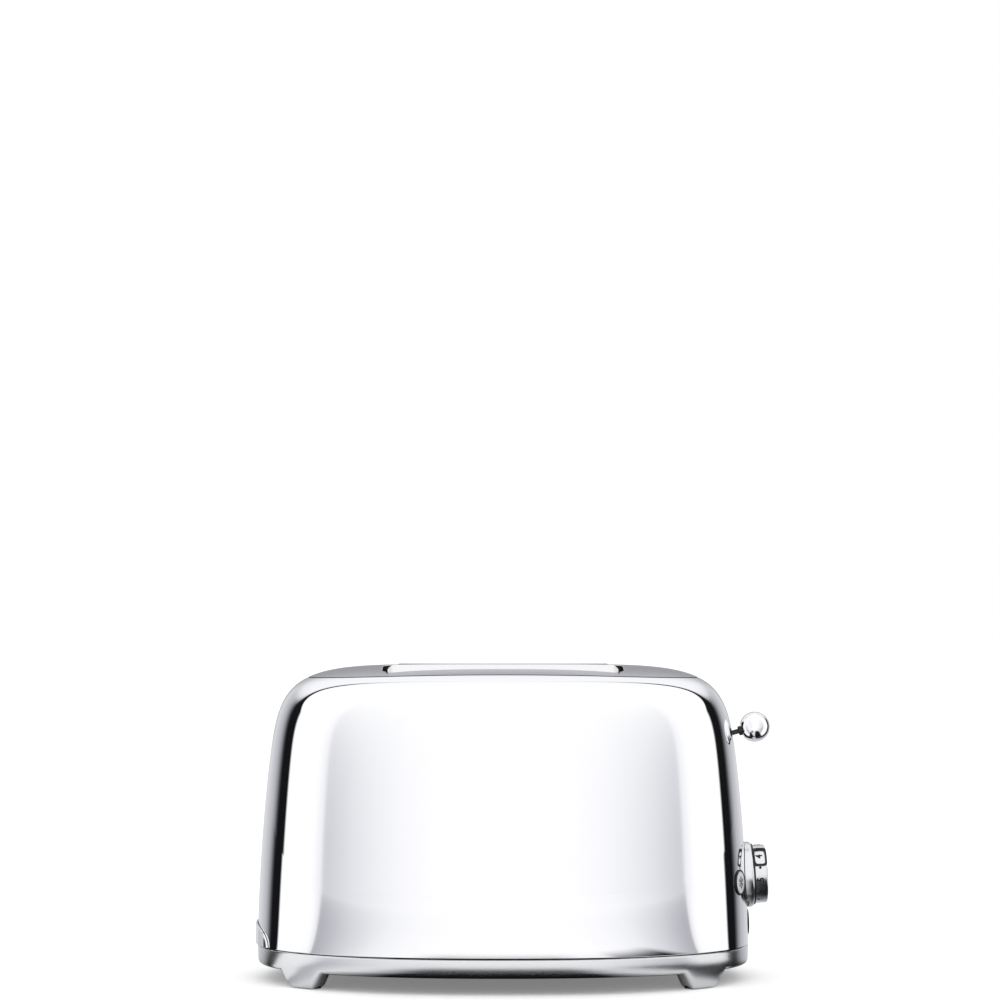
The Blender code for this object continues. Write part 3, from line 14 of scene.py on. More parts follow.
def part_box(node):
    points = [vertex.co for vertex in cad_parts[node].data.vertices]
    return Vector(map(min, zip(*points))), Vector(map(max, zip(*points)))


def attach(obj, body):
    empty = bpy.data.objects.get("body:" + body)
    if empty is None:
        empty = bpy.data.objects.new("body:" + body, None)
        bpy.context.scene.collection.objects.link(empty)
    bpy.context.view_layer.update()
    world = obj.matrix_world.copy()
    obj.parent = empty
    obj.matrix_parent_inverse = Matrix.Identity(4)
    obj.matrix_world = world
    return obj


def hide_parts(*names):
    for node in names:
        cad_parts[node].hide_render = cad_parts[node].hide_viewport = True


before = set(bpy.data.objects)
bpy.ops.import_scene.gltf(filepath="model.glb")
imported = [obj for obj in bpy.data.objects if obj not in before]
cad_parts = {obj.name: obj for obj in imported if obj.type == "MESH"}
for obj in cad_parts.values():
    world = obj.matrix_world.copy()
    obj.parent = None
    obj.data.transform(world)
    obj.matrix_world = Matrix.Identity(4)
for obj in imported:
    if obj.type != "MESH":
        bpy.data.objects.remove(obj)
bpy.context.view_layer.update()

# Outer shell: one body deep-drawn from 1 mm stainless steel and polished to a mirror.
# Seen from above it is a rounded oblong, and it leans in a little on its way up to the
# deck. It is open below, and cut out for the lever, the dial, the buttons and the drawer.
shell_low, shell_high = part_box("outer_shell")
crown_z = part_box("top_deck")[1].z
middle_x = (shell_low.x + shell_high.x) / 2
body_half_length = (shell_high.x - shell_low.x) / 2
body_half_breadth = (shell_high.y - shell_low.y) / 2
body_rise = crown_z - shell_low.z
draw_in = 0.0147
plan_power = 2.3
lean_power = 1.7
end_round = (12.9, 5.73)
side_round = (8.0, 3.5)
shell_wall = 0.001
end_seam_z = crown_z - 0.0086
seam_rise = 0.0022
piece_gap = 0.0003


def half_length(z):
    """Half the body's length at a height."""
    share = min(max((z - shell_low.z) / body_rise, 0), 1)
    rounded = (1 - share ** end_round[0]) ** (1 / end_round[1])
    return (body_half_length - draw_in * share**lean_power) * rounded


def half_breadth(z):
    """Half the body's depth, front to rear, at a height."""
    share = min(max((z - shell_low.z) / body_rise, 0), 1)
    rounded = (1 - share ** side_round[0]) ** (1 / side_round[1])
    return (body_half_breadth - draw_in * share**lean_power) * rounded


def plan_point(length, breadth, turn, power=plan_power):
    """A point of the body's outline seen from above, at an angle from the +X end."""
    cosine, sine = math.cos(turn), math.sin(turn)
    x = length * math.copysign(abs(cosine) ** (2 / power), cosine)
    y = breadth * math.copysign(abs(sine) ** (2 / power), sine)
    return x, y


def skin_depth(x, y, z):
    """Below 1 inside the body's skin, 1 on it and above 1 outside it."""
    length, breadth = half_length(z), half_breadth(z)
    if z >= crown_z or length <= 0 or breadth <= 0:
        return 2
    return abs((x - middle_x) / length) ** plan_power + abs(y / breadth) ** plan_power


def skin_normal(x, y, z):
    """The direction straight out of the skin at one of its points."""
    step = 0.00004
    slope = Vector((
        skin_depth(x + step, y, z) - skin_depth(x - step, y, z),
        skin_depth(x, y + step, z) - skin_depth(x, y - step, z),
        skin_depth(x, y, z + step) - skin_depth(x, y, z - step),
    ))
    return slope.normalized()


def seam_z(turn):
    """Height of the seam between the shell and the deck."""
    return end_seam_z + seam_rise * abs(math.sin(turn)) ** 4


def mesh_from_sections(name, sections, closed=True):
    """A skin over a closed row of sections; closed joins each section's own ends."""
    weld = 0.000002
    count = len(sections[0])
    points = [point for section in sections for point in section]
    faces = []
    for place in range(len(sections)):
        here, there = place * count, (place + 1) % len(sections) * count
        for step in range(count if closed else count - 1):
            after = (step + 1) % count
            faces.append((here + step, there + step, there + after, here + after))
    mesh = bpy.data.meshes.new(name)
    mesh.from_pydata(points, [], faces)
    work = bmesh.new()
    work.from_mesh(mesh)
    bmesh.ops.remove_doubles(work, verts=work.verts, dist=weld)
    bmesh.ops.recalc_face_normals(work, faces=work.faces)
    work.to_mesh(mesh)
    work.free()
    mesh.shade_smooth()
    return mesh


def add_piece(name, mesh, finish, body, *nodes):
    """Puts a piece in the scene on its body, in place of the CAD nodes it stands for."""
    piece = bpy.data.objects.new(name, mesh)
    bpy.context.scene.collection.objects.link(piece)
    mesh.materials.clear()
    mesh.materials.append(finish)
    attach(piece, body)
    if nodes:
        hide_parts(*nodes)
    return piece


def cutter_from(name, work):
    """A cutter from the faces of an open mesh."""
    mesh = bpy.data.meshes.new(name)
    work.to_mesh(mesh)
    work.free()
    cutter = bpy.data.objects.new(name, mesh)
    bpy.context.scene.collection.objects.link(cutter)
    return cutter


def rounded_block(name, low, high, radius, axis="Z"):
    """A cutter: a block whose edges along one axis are rounded."""
    work = bmesh.new()
    size = Vector(high) - Vector(low)
    matrix = Matrix.Translation((Vector(low) + Vector(high)) / 2) @ Matrix.Diagonal((*size, 1))
    bmesh.ops.create_cube(work, size=1, matrix=matrix)
    number = "XYZ".index(axis)
    edges = [e for e in work.edges if abs((e.verts[0].co - e.verts[1].co)[number]) > size[number] / 2]
    bmesh.ops.bevel(work, geom=edges, offset=radius, segments=12, affect="EDGES", profile=0.5)
    return cutter_from(name, work)


def round_cutter(name, start, direction, length, radius):
    """A cutter: a round bar from a point along a direction."""
    work = bmesh.new()
    turn = Vector(direction).to_track_quat("Z", "Y").to_matrix().to_4x4()
    middle = Vector(start) + Vector(direction).normalized() * length / 2
    bmesh.ops.create_cone(
        work, cap_ends=True, segments=72, radius1=radius, radius2=radius, depth=length,
        matrix=Matrix.Translation(middle) @ turn,
    )
    return cutter_from(name, work)


def cut_out(name, mesh, cutters):
    """The mesh with the cutters taken away from it."""
    blank = bpy.data.objects.new(f"{name}_blank", mesh)
    bpy.context.scene.collection.objects.link(blank)
    for cutter in cutters:
        step = blank.modifiers.new(cutter.name, "BOOLEAN")
        step.operation = "DIFFERENCE"
        step.solver = "EXACT"
        step.object = cutter
    bpy.context.view_layer.update()
    result = bpy.data.meshes.new_from_object(blank.evaluated_get(bpy.context.evaluated_depsgraph_get()))
    for used in [blank, *cutters]:
        bpy.data.objects.remove(used, do_unlink=True)
    result.name = name
    return result


def polish_normals(mesh):
    """Gives every corner on the outer skin its exact normal, so that reflections run clean."""
    skin_tolerance, facing_out = 0.0004, 0.7
    mesh.set_sharp_from_angle(angle=math.radians(28))
    exact = {}
    for vertex in mesh.vertices:
        x, y, z = vertex.co
        if abs(skin_depth(x, y, z) - 1) < skin_tolerance:
            exact[vertex.index] = skin_normal(x, y, z)
    normals = []
    for face in mesh.polygons:
        on_skin = all(index in exact for index in face.vertices)
        on_skin = on_skin and face.normal.dot(exact[face.vertices[0]]) > facing_out
        for index in face.vertices:
            normals.append(exact[index] if on_skin else (0, 0, 0))
    mesh.normals_split_custom_set(normals)


def end_frame(y, z):
    """A frame on the +X end of the shell, whose own z points straight out of the skin."""
    share = min(abs(y) / half_breadth(z), 1)
    x = middle_x + half_length(z) * (1 - share**plan_power) ** (1 / plan_power)
    outward = skin_normal(x, y, z)
    across = Vector((0, 0, 1)).cross(outward).normalized()
    upward = outward.cross(across)
    place = Matrix((across, upward, outward)).transposed().to_4x4()
    place.translation = (x, y, z)
    return place


def linear(code):
    """The linear colour, with alpha, of an sRGB hex code."""
    parts = [int(code[place:place + 2], 16) / 255 for place in (1, 3, 5)]
    return (*(part / 12.92 if part <= 0.04045 else ((part + 0.055) / 1.055) ** 2.4 for part in parts), 1)


def add_node(tree, kind, inputs=None, stops=None, **settings):
    """Adds a node: inputs are values or outputs to link, and stops fill a colour ramp."""
    node = tree.nodes.new(kind)
    for name, value in settings.items():
        setattr(node, name, value)
    for socket, value in (inputs or {}).items():
        if isinstance(value, bpy.types.NodeSocket):
            tree.links.new(value, node.inputs[socket])
        else:
            node.inputs[socket].default_value = value
    if stops:
        ramp = node.color_ramp
        while len(ramp.elements) < len(stops):
            ramp.elements.new(1)
        for element, (position, colour) in zip(ramp.elements, stops):
            element.position = position
            element.color = colour
    return node


def new_finish(name):
    """An empty material and its tree."""
    finish = bpy.data.materials.new(name)
    finish.use_nodes = True
    finish.node_tree.nodes.clear()
    return finish, finish.node_tree


# Polished stainless steel: cold-rolled sheet, drawn and buffed. It is nearly a mirror,
# with a faint unevenness of the buffing some 40 mm across.
mirror_steel, tree = new_finish("mirror_polished_stainless_steel")
place = add_node(tree, "ShaderNodeTexCoord")
buffing = add_node(
    tree, "ShaderNodeTexNoise", {"Vector": place.outputs["Object"], "Scale": 25.0, "Detail": 3.0}
)
haze = add_node(
    tree, "ShaderNodeMapRange",
    {"Value": buffing.outputs["Fac"], "From Min": 0.35, "From Max": 0.7, "To Min": 0.015, "To Max": 0.035},
)
steel = add_node(
    tree, "ShaderNodeBsdfPrincipled",
    {"Base Color": linear("#FAFAFC"), "Metallic": 1.0, "Roughness": haze.outputs["Result"]},
)
add_node(tree, "ShaderNodeOutputMaterial", {"Surface": steel.outputs["BSDF"]})

turn_count, level_count, level_power = 360, 90, 1.6
rim_rise, rim_break = 0.00035, 0.0001
turns = [2 * math.pi * step / turn_count for step in range(turn_count)]
# Levels lie closer together towards the rounded top
levels = [1 - (1 - step / level_count) ** level_power for step in range(level_count + 1)]
sections = []
for turn in turns:
    outer, inner = [], []
    top = seam_z(turn)
    for level in levels:
        z = shell_low.z + (top - shell_low.z) * level
        x, y = plan_point(half_length(z), half_breadth(z), turn)
        point = Vector((x + middle_x, y, z))
        outward = skin_normal(*point)
        inner.append(point - outward * shell_wall)
        outer.append(point)
    edge = outer[0].copy()
    outward = skin_normal(*edge)
    outer[0] = edge + Vector((0, 0, rim_rise))
    rim = [edge - outward * rim_break + Vector((0, 0, rim_break)), edge - outward * rim_rise, inner[0]]
    sections.append(rim[::-1][1:] + outer + inner[::-1])
shell_mesh = mesh_from_sections("polished_shell", sections)

trim_low, trim_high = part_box("lever_slot_trim")
trim_flange, trim_end = 0.0022, 0.005
slot_half = (trim_high.y - trim_low.y) / 2 - trim_flange
slot_low_z, slot_high_z = trim_low.z + trim_end, trim_high.z - trim_end
button_places = {"defrost": (-0.0345, 0.0623), "bagel": (0, 0.0344), "reheat": (0.0345, 0.0623)}
button_hole_radius = 0.0078
dial_z, dial_hole_radius = 0.0643, 0.0093
hole_reach, dial_hole_reach = 0.008, 0.01
# How far from the middle the cutters for the ends begin and stop
end_cut_start, end_cut_stop, mouth_cut_start = 0.13, 0.17, 0.12
dial_frame = end_frame(0, dial_z)
button_frames = {name: end_frame(y, z) for name, (y, z) in button_places.items()}
mouth_half, mouth_height = 0.0375, 0.0112
cutters = [
    rounded_block(
        "lever_slot", (middle_x + end_cut_start, -slot_half, slot_low_z),
        (middle_x + end_cut_stop, slot_half, slot_high_z), slot_half * 0.98, "X",
    ),
    round_cutter(
        "dial_hole", dial_frame @ Vector((0, 0, -dial_hole_reach)), dial_frame.col[2].to_3d(),
        2 * dial_hole_reach, dial_hole_radius,
    ),
]
for name, place in button_frames.items():
    outward = place.col[2].to_3d()
    start = place.translation - outward * hole_reach
    cutters.append(round_cutter(f"hole_{name}", start, outward, 2 * hole_reach, button_hole_radius))
arch_count, mouth_power, overrun = 48, 3, 0.004
arch = []
for step in range(arch_count + 1):
    y, z = plan_point(mouth_half, mouth_height, math.pi * step / arch_count, mouth_power)
    arch.append((y, shell_low.z + max(z, 0)))
arch = [(mouth_half, shell_low.z - overrun), *arch, (-mouth_half, shell_low.z - overrun)]
mouth_mesh = bpy.data.meshes.new("drawer_mouth_faces")
count = len(arch)
points = [(middle_x - reach, y, z) for reach in (end_cut_stop, mouth_cut_start) for y, z in arch]
faces = [tuple(range(count)), tuple(reversed(range(count, 2 * count)))]
faces += [(step, (step + 1) % count, (step + 1) % count + count, step + count) for step in range(count)]
mouth_mesh.from_pydata(points, [], faces)
work = bmesh.new()
work.from_mesh(mouth_mesh)
bmesh.ops.recalc_face_normals(work, faces=work.faces)
cutters.append(cutter_from("drawer_mouth", work))
shell_mesh = cut_out("polished_shell", shell_mesh, cutters)
polish_normals(shell_mesh)
shell = add_piece("polished_shell", shell_mesh, mirror_steel, "chassis", "outer_shell")

# Top deck: a stainless sheet let into the shell, brushed lengthways to a satin. Its two
# bread slots have folded lips that stand up on their outer sides and run down inside.
deck_wall, deck_seam_gap = 0.001, 0.00045
bread_slot_half = (0.075, 0.015)
bread_slot_y = 0.029
bread_slot_corner = 0.008
lip_wall = 0.0011
lip_bottom = crown_z - 0.014
lip_fade, lip_steps, wall_margin = 0.006, 6, 0.00005
ring_count, ring_power = 41, 1.3
slot_overrun, sink, edge_lap = 0.002, 0.00002, 0.0004


def grained_finish(
    name, tones, rough, grain, metallic=0.0, depth=0.00002, stretch=(1, 1, 1), relief=0.3, detail=3.0,
    span=(0.32, 0.68),
):
    """A finish with a fine grain of a given width in metres, in tone, gloss and relief."""
    finish, tree = new_finish(name)
    place = add_node(tree, "ShaderNodeTexCoord")
    scale = tuple(share / grain for share in stretch)
    spread = add_node(tree, "ShaderNodeMapping", {"Vector": place.outputs["Object"], "Scale": scale})
    speckle = add_node(
        tree, "ShaderNodeTexNoise", {"Vector": spread.outputs["Vector"], "Scale": 1.0, "Detail": detail}
    )
    tone = add_node(
        tree, "ShaderNodeValToRGB", {"Fac": speckle.outputs["Fac"]},
        stops=[(position, linear(code)) for position, code in zip(span, tones)],
    )
    sheen = add_node(
        tree, "ShaderNodeMapRange",
        {
            "Value": speckle.outputs["Fac"], "From Min": 0.3, "From Max": 0.7,
            "To Min": rough[0], "To Max": rough[1],
        },
    )
    bump = add_node(
        tree, "ShaderNodeBump", {"Height": speckle.outputs["Fac"], "Strength": relief, "Distance": depth}
    )
    surface = add_node(
        tree, "ShaderNodeBsdfPrincipled",
        {
            "Base Color": tone.outputs["Color"], "Metallic": metallic, "Roughness": sheen.outputs["Result"],
            "Normal": bump.outputs["Normal"],
        },
    )
    add_node(tree, "ShaderNodeOutputMaterial", {"Surface": surface.outputs["BSDF"]})
    return finish


# Brush lines 0.4 mm apart and about 30 mm long
satin_deck = grained_finish(
    "brushed_stainless_steel", ("#B4B5B8", "#BEBFC2"), (0.26, 0.32), 0.0004, metallic=1.0,
    stretch=(0.0132, 1, 1), relief=0.08, span=(0.3, 0.7),
)


def top_of_body(x, y):
    """Height of the body's top surface above a place."""
    low, high = shell_low.z, crown_z
    for _ in range(34):
        middle = (low + high) / 2
        if skin_depth(x, y, middle) < 1:
            low = middle
        else:
            high = middle
    return low


sections = []
for turn in turns:
    edge_z = seam_z(turn) + deck_seam_gap
    edge_x, edge_y = plan_point(half_length(edge_z), half_breadth(edge_z), turn)
    section = []
    for step in range(ring_count):
        share = 1 - (step / ring_count) ** ring_power
        x, y = edge_x * share + middle_x, edge_y * share
        section.append(Vector((x, y, top_of_body(x, y))))
    outward = skin_normal(*section[0])
    inward = Vector((edge_x, edge_y, 0)).normalized() * sink
    edge = [section[0] - outward * deck_wall, section[0] - outward * edge_lap - inward]
    under = [point - Vector((0, 0, deck_wall)) for point in section[:0:-4]]
    crown = [Vector((middle_x, 0, crown_z)), Vector((middle_x, 0, crown_z - deck_wall))]
    sections.append(section + crown + under + edge)
deck_mesh = mesh_from_sections("brushed_deck", sections)
slot_cutters = []
for side, y in (("front", -bread_slot_y), ("rear", bread_slot_y)):
    reach_x, reach_y = bread_slot_half[0] + lip_wall / 2, bread_slot_half[1] + lip_wall / 2
    low = (middle_x - reach_x, y - reach_y, lip_bottom)
    high = (middle_x + reach_x, y + reach_y, crown_z + slot_overrun)
    slot_cutters.append(rounded_block(f"bread_slot_{side}", low, high, bread_slot_corner + lip_wall / 2))
deck_mesh = cut_out("brushed_deck", deck_mesh, slot_cutters)
deck_mesh.set_sharp_from_angle(angle=math.radians(30))
deck = add_piece("brushed_deck", deck_mesh, satin_deck, "chassis", "top_deck")


def slot_outline(spread):
    """Points round a bread slot, moved outwards by a spread, with their corner count kept."""
    points = []
    for corner in range(4):
        sign_x = 1 if corner in (0, 3) else -1
        sign_y = 1 if corner in (0, 1) else -1
        centre_x = (bread_slot_half[0] - bread_slot_corner) * sign_x
        centre_y = (bread_slot_half[1] - bread_slot_corner) * sign_y
        for step in range(17):
            turn = math.pi / 2 * (corner + step / 16)
            radius = bread_slot_corner + spread
            points.append((centre_x + radius * math.cos(turn), centre_y + radius * math.sin(turn)))
        if corner in (0, 2):
            last_x, last_y = points[-1]
            points += [(last_x * (1 - step / 12), last_y) for step in range(1, 24)]
    return points


# The folded lips are smoother and brighter than the sheet
rolled_steel = grained_finish(
    "rolled_stainless_steel", ("#F2F2F4", "#F2F2F4"), (0.2, 0.25), 1 / 900, metallic=1.0, relief=0.0,
    detail=2.0,
)
# The same steel on the slots' inner walls, near black: painted shade of the deep slots, with a faint warm
# heat tint
slot_shade_steel = grained_finish(
    "slot_wall_steel_painted_shade", ("#222224", "#37352F"), (0.5, 0.5), 1 / 180, metallic=1.0, relief=0.0,
    span=(0.3, 0.7),
)
for side, centre in (("front", -bread_slot_y), ("rear", bread_slot_y)):
    sections = []
    straight = bread_slot_half[0] - bread_slot_corner
    for (in_x, in_y), (out_x, out_y) in zip(slot_outline(0), slot_outline(lip_wall)):
        sunk = min(top_of_body(out_x + middle_x, out_y + centre), crown_z - sink)
        fade = max(0, 1 - (max(0, abs(out_x) - straight) / lip_fade) ** 2)
        top = sunk + (crown_z - sunk) * fade if (out_y > 0) == (centre > 0) else sunk
        top = max(top, sunk)
        section = [(in_x, in_y, lip_bottom)]
        for step in range(lip_steps + 1):
            turn = math.pi * step / lip_steps
            share = (1 - math.cos(turn)) / 2
            height = top - lip_wall / 2 * (1 - math.sin(turn))
            section.append((in_x + (out_x - in_x) * share, in_y + (out_y - in_y) * share, height))
        section.append((out_x, out_y, lip_bottom))
        sections.append([Vector((x + middle_x, y + centre, z)) for x, y, z in section])
    lip_mesh = mesh_from_sections(f"slot_lip_{side}", sections)
    lip_mesh.set_sharp_from_angle(angle=math.radians(50))
    lip = add_piece(f"slot_lip_{side}", lip_mesh, rolled_steel, "chassis")
    # The slots' inner walls get the near-black steel, which paints the shade deep in the slots
    lip_mesh.materials.append(slot_shade_steel)
    for face in lip_mesh.polygons:
        middle = face.center
        across, along = abs(middle.y - centre), abs(middle.x - middle_x)
        inside = across < bread_slot_half[1] + wall_margin and along < bread_slot_half[0] + wall_margin
        face.material_index = int(inside and abs(face.normal.z) < 0.5)

# Base skirt: a die-cast zinc ring, shot-peened and satin-plated, that carries the shell.
# Four short legs flow out of its rounded lower edge at the corners.
# Peening 0.5 mm across
satin_cast = grained_finish(
    "satin_plated_zinc_casting", ("#E4E5E7", "#E4E5E7"), (0.17, 0.23), 0.0005, metallic=1.0, relief=0.06,
    detail=2.0,
)
skirt_low, skirt_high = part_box("base_skirt")
skirt_top = skirt_high.z
leg_height = 0.008
edge_z = skirt_low.z + leg_height
# The legs reach down round the pads, which stand out below them by half a millimetre
toe_z = 0.0005
# Insets from the body's outline and heights, down the outer side and back up inside
rim_profile = [
    (0.0022, skirt_top), (0.0013, skirt_top - 0.0001), (0.0006, skirt_top - 0.0004),
    (0.0002, skirt_top - 0.0009), (0, skirt_top - 0.0016), (0.0002, edge_z + 0.0030),
]
flange_profile = [
    (0.0145, edge_z + 0.0028), (0.0145, edge_z + 0.0053), (0.0032, edge_z + 0.0053), (0.0032, skirt_top),
]
plain_profile = [
    *rim_profile, (0.0003, edge_z + 0.0020), (0.0006, edge_z + 0.0012), (0.0011, edge_z + 0.0006),
    (0.0018, edge_z + 0.0002), (0.0026, edge_z), (0.0036, edge_z), (0.0044, edge_z), (0.0052, edge_z),
    (0.0059, edge_z), (0.0063, edge_z), (0.0064, edge_z + 0.0002), (0.0064, edge_z + 0.0028), *flange_profile,
]
leg_profile = [
    *rim_profile, (0.0004, edge_z - 0.0015), (0.0007, toe_z + 0.0024), (0.0009, toe_z + 0.0012),
    (0.0012, toe_z + 0.0005), (0.0017, toe_z + 0.0001), (0.0024, toe_z), (0.0060, toe_z), (0.0100, toe_z),
    (0.0140, toe_z), (0.0158, toe_z + 0.0006), (0.0160, edge_z + 0.0006), (0.0064, edge_z + 0.0008),
    *flange_profile,
]
# A leg's inner side turns away from the front, and its foot lies between these angles
leg_skew, skew_start, skew_reach = math.radians(3), 0.003, 0.013
leg_turns = [math.radians(angle) for angle in (29.2, 34.2, 43.3, 46.9)]


def leg_share(turn):
    """0 along the plain ring and 1 over a leg's foot, with an eased way between them."""
    folded = math.acos(min(abs(math.cos(turn)), 1))
    rise = min(max((folded - leg_turns[0]) / (leg_turns[1] - leg_turns[0]), 0), 1)
    fall = min(max((leg_turns[3] - folded) / (leg_turns[3] - leg_turns[2]), 0), 1)
    share = min(rise, fall)
    return share**1.3 * (1.6 - 0.6 * share)


# Sections every 1.5 degrees, and every 0.3 degrees at a leg
skirt_turns = []
for quarter in range(4):
    for tenth in range(900):
        angle = tenth / 10
        folded = angle if quarter in (0, 2) else 90 - angle
        if (28 < folded < 49 and tenth % 3 == 0) or tenth % 15 == 0:
            skirt_turns.append(math.radians(quarter * 90 + angle))
sections = []
for turn in skirt_turns:
    share = leg_share(turn)
    section = []
    for (plain_inset, plain_z), (leg_inset, leg_z) in zip(plain_profile, leg_profile):
        inset = plain_inset + (leg_inset - plain_inset) * share
        depth_share = min(max((inset - skew_start) / skew_reach, 0), 1) if leg_z < edge_z else 0
        quarter_sign = 1 if math.sin(turn) * math.cos(turn) > 0 else -1
        skewed = turn - quarter_sign * leg_skew * share * depth_share
        x, y = plan_point(body_half_length - inset, body_half_breadth - inset, skewed)
        section.append(Vector((x + middle_x, y, plain_z + (leg_z - plain_z) * share)))
    sections.append(section)
skirt_mesh = mesh_from_sections("cast_skirt", sections)
skirt_mesh.set_sharp_from_angle(angle=math.radians(40))
skirt = add_piece("cast_skirt", skirt_mesh, satin_cast, "chassis", "base_skirt")

# Foot pads: four turned black rubber pads pressed into the legs, which keep the toaster
# from sliding. They keep the shape that the frame gives them.


def dress_nodes(finish, edge, *nodes):
    """Gives CAD pieces that keep their shape a finish and, with edge, softly broken edges."""
    for name in nodes:
        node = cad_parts[name]
        node.active_material = finish
        if edge:
            rounding = node.modifiers.new("broken_edges", "BEVEL")
            rounding.width = edge
            rounding.segments = 2
            rounding.limit_method = "ANGLE"
            rounding.angle_limit = math.radians(50)


# Nitrile rubber, moulded: dull black with a grain 0.6 mm across
nitrile_rubber = grained_finish(
    "moulded_nitrile_rubber", ("#131314", "#1F1F20"), (0.6, 0.75), 0.0006, depth=0.00005,
)
corners = ("front_left", "front_right", "rear_left", "rear_right")
dress_nodes(nitrile_rubber, 0.0004, *[f"foot_pad_{corner}" for corner in corners])

# Bottom plate: pressed from zinc-plated steel sheet, with vents and two rails for the crumb
# drawer. Four screws hold it up against the skirt's flange, beside the inlet for the lead.

# Zinc-plated mild steel: grey, with the cloudy bloom of the plating some 3 mm across
zinc_plate = grained_finish("zinc_plated_steel", ("#9A9DA0", "#B4B6B8"), (0.34, 0.46), 0.003, metallic=1.0)
dress_nodes(zinc_plate, 0, "bottom_plate")
dress_nodes(zinc_plate, 0.0003, *[f"base_screw_{corner}" for corner in corners])
# Nylon and phenolic mouldings: black, half matt, with a spark-eroded grain 0.3 mm across
black_moulding = grained_finish("moulded_black_nylon", ("#121213", "#1B1B1C"), (0.36, 0.46), 0.0003)
dress_nodes(black_moulding, 0.0004, "cord_gland", "terminal_block")

# Toasting chamber: two pressed end plates and two bent side sheets under the deck. They
# are bright inside, to throw the heat back at the bread.

# Aluminised steel: pale grey and half matt, slightly straw-coloured by the heat
aluminised_sheet = grained_finish(
    "aluminised_steel_sheet", ("#8F8D88", "#A9A7A2"), (0.3, 0.42), 0.004, metallic=1.0,
)
walls = ("end_left", "end_right", "side_front", "side_rear")
dress_nodes(aluminised_sheet, 0, *[f"chamber_{wall}" for wall in walls])

# Heaters: four boards of pressed mica, each wound with a flat nichrome ribbon that runs up
# and down over the side that faces the bread.

# Pressed mica: warm grey-brown flakes about 2.5 mm across, with a pearly shine
pressed_mica = grained_finish("pressed_mica", ("#8C7A5B", "#B7A684"), (0.3, 0.5), 0.0025, depth=0.00006)
# Nichrome: oxidised to a dark warm grey, smooth as drawn
nichrome = grained_finish("oxidised_nichrome", ("#4A4440", "#6A615B"), (0.35, 0.5), 0.0008, metallic=1.0)


def wire_piece(name, runs, radius, finish, body, *nodes):
    """A piece of round wire through one or more rows of points."""
    curve = bpy.data.curves.new(name, "CURVE")
    curve.dimensions = "3D"
    curve.bevel_depth = radius
    curve.bevel_resolution = 3
    curve.use_fill_caps = True
    for run in runs:
        spline = curve.splines.new("POLY")
        spline.points.add(len(run) - 1)
        for point, place in zip(spline.points, run):
            point.co = (*place, 1)
        spline.use_smooth = True
    return add_piece(name, curve, finish, body, *nodes)


wire_places = ("front_outer", "front_inner", "rear_inner", "rear_outer")
ribbon_lift, ribbon_radius, ribbon_runs = 0.0003, 0.0004, 19
board_margin, top_margin = 0.008, 0.006
for name in wire_places:
    dress_nodes(pressed_mica, 0, f"heater_{name}")
    low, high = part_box(f"heater_{name}")
    faces_front = name in ("front_inner", "rear_outer")
    y = low.y - ribbon_lift if faces_front else high.y + ribbon_lift
    ribbon = []
    for run in range(ribbon_runs):
        x = low.x + board_margin + (high.x - low.x - 2 * board_margin) * run / (ribbon_runs - 1)
        ends = (low.z + board_margin, high.z - top_margin)
        ribbon += [(x, y, z) for z in (ends if run % 2 == 0 else ends[::-1])]
    wound = wire_piece(f"heating_ribbon_{name}", [ribbon], ribbon_radius, nichrome, "chassis")

# Bread guards: four grids of welded 1.6 mm chromed wire that lean in on the slice as it goes
# down. Each one turns on the ends of its lowest wire.

# Chromed steel wire: bright, with a faint draw along it
chromed_wire = grained_finish("chromed_steel_wire", ("#B5B6B8", "#CBCCCE"), (0.14, 0.24), 0.002, metallic=1.0)
for name in wire_places:
    low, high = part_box(f"bread_guard_{name}")
    y = (low.y + high.y) / 2
    wire, pivot_length, bend, bar_gaps = 0.0008, 0.0087, 0.003, 7
    left, right = low.x + pivot_length + wire, high.x - pivot_length - wire
    base, top = low.z + wire, high.z - wire
    runs = [[(low.x, y, base), (high.x, y, base)]]
    runs.append([
        (left, y, base), (left, y, top - bend), (left + bend, y, top), (right - bend, y, top),
        (right, y, top - bend), (right, y, base),
    ])
    for bar in range(1, bar_gaps):
        x = left + (right - left) * bar / bar_gaps
        runs.append([(x, y, base), (x, y, top)])
    grid = wire_piece(f"wire_guard_{name}", runs, wire, chromed_wire, f"guard_{name}", f"bread_guard_{name}")

# Carriage: the racks that carry the slices, on a bracket that slides on two ground rods.
# A coil spring lifts it, and a catch plate holds it down against the latch magnet.
dress_nodes(chromed_wire, 0.0003, "bread_rack_front", "bread_rack_rear", "guide_rod_front", "guide_rod_rear")
dress_nodes(zinc_plate, 0.0003, "carriage_bracket", "catch_plate")
# Spring steel: blued almost black by its hardening
spring_steel = grained_finish("blued_spring_steel", ("#2B2D31", "#3C3F45"), (0.3, 0.42), 0.001, metallic=1.0)
dress_nodes(spring_steel, 0, "return_spring")
# Enamelled copper winding: turns 0.8 mm apart, wound round the magnet's upright core
copper_winding = grained_finish(
    "enamelled_copper_winding", ("#7A3A1C", "#C06A3A"), (0.25, 0.4), 0.0008, metallic=0.6, depth=0.0002,
    stretch=(0.05, 0.05, 1),
)
dress_nodes(copper_winding, 0.0006, "latch_magnet")

# Controls: a glass-fibre board behind the end wall carries the three switches and the
# potentiometer that the dial's shaft turns.

# Solder-masked glass fibre: green and glossy, with the weave showing 0.7 mm apart
circuit_board = grained_finish("solder_masked_glass_fibre", ("#123B22", "#1C5230"), (0.22, 0.34), 0.0007)
dress_nodes(circuit_board, 0, "control_board")
dress_nodes(black_moulding, 0.0004, "switch_defrost", "switch_bagel", "switch_reheat")
dress_nodes(zinc_plate, 0.0004, "potentiometer", "dial_shaft")

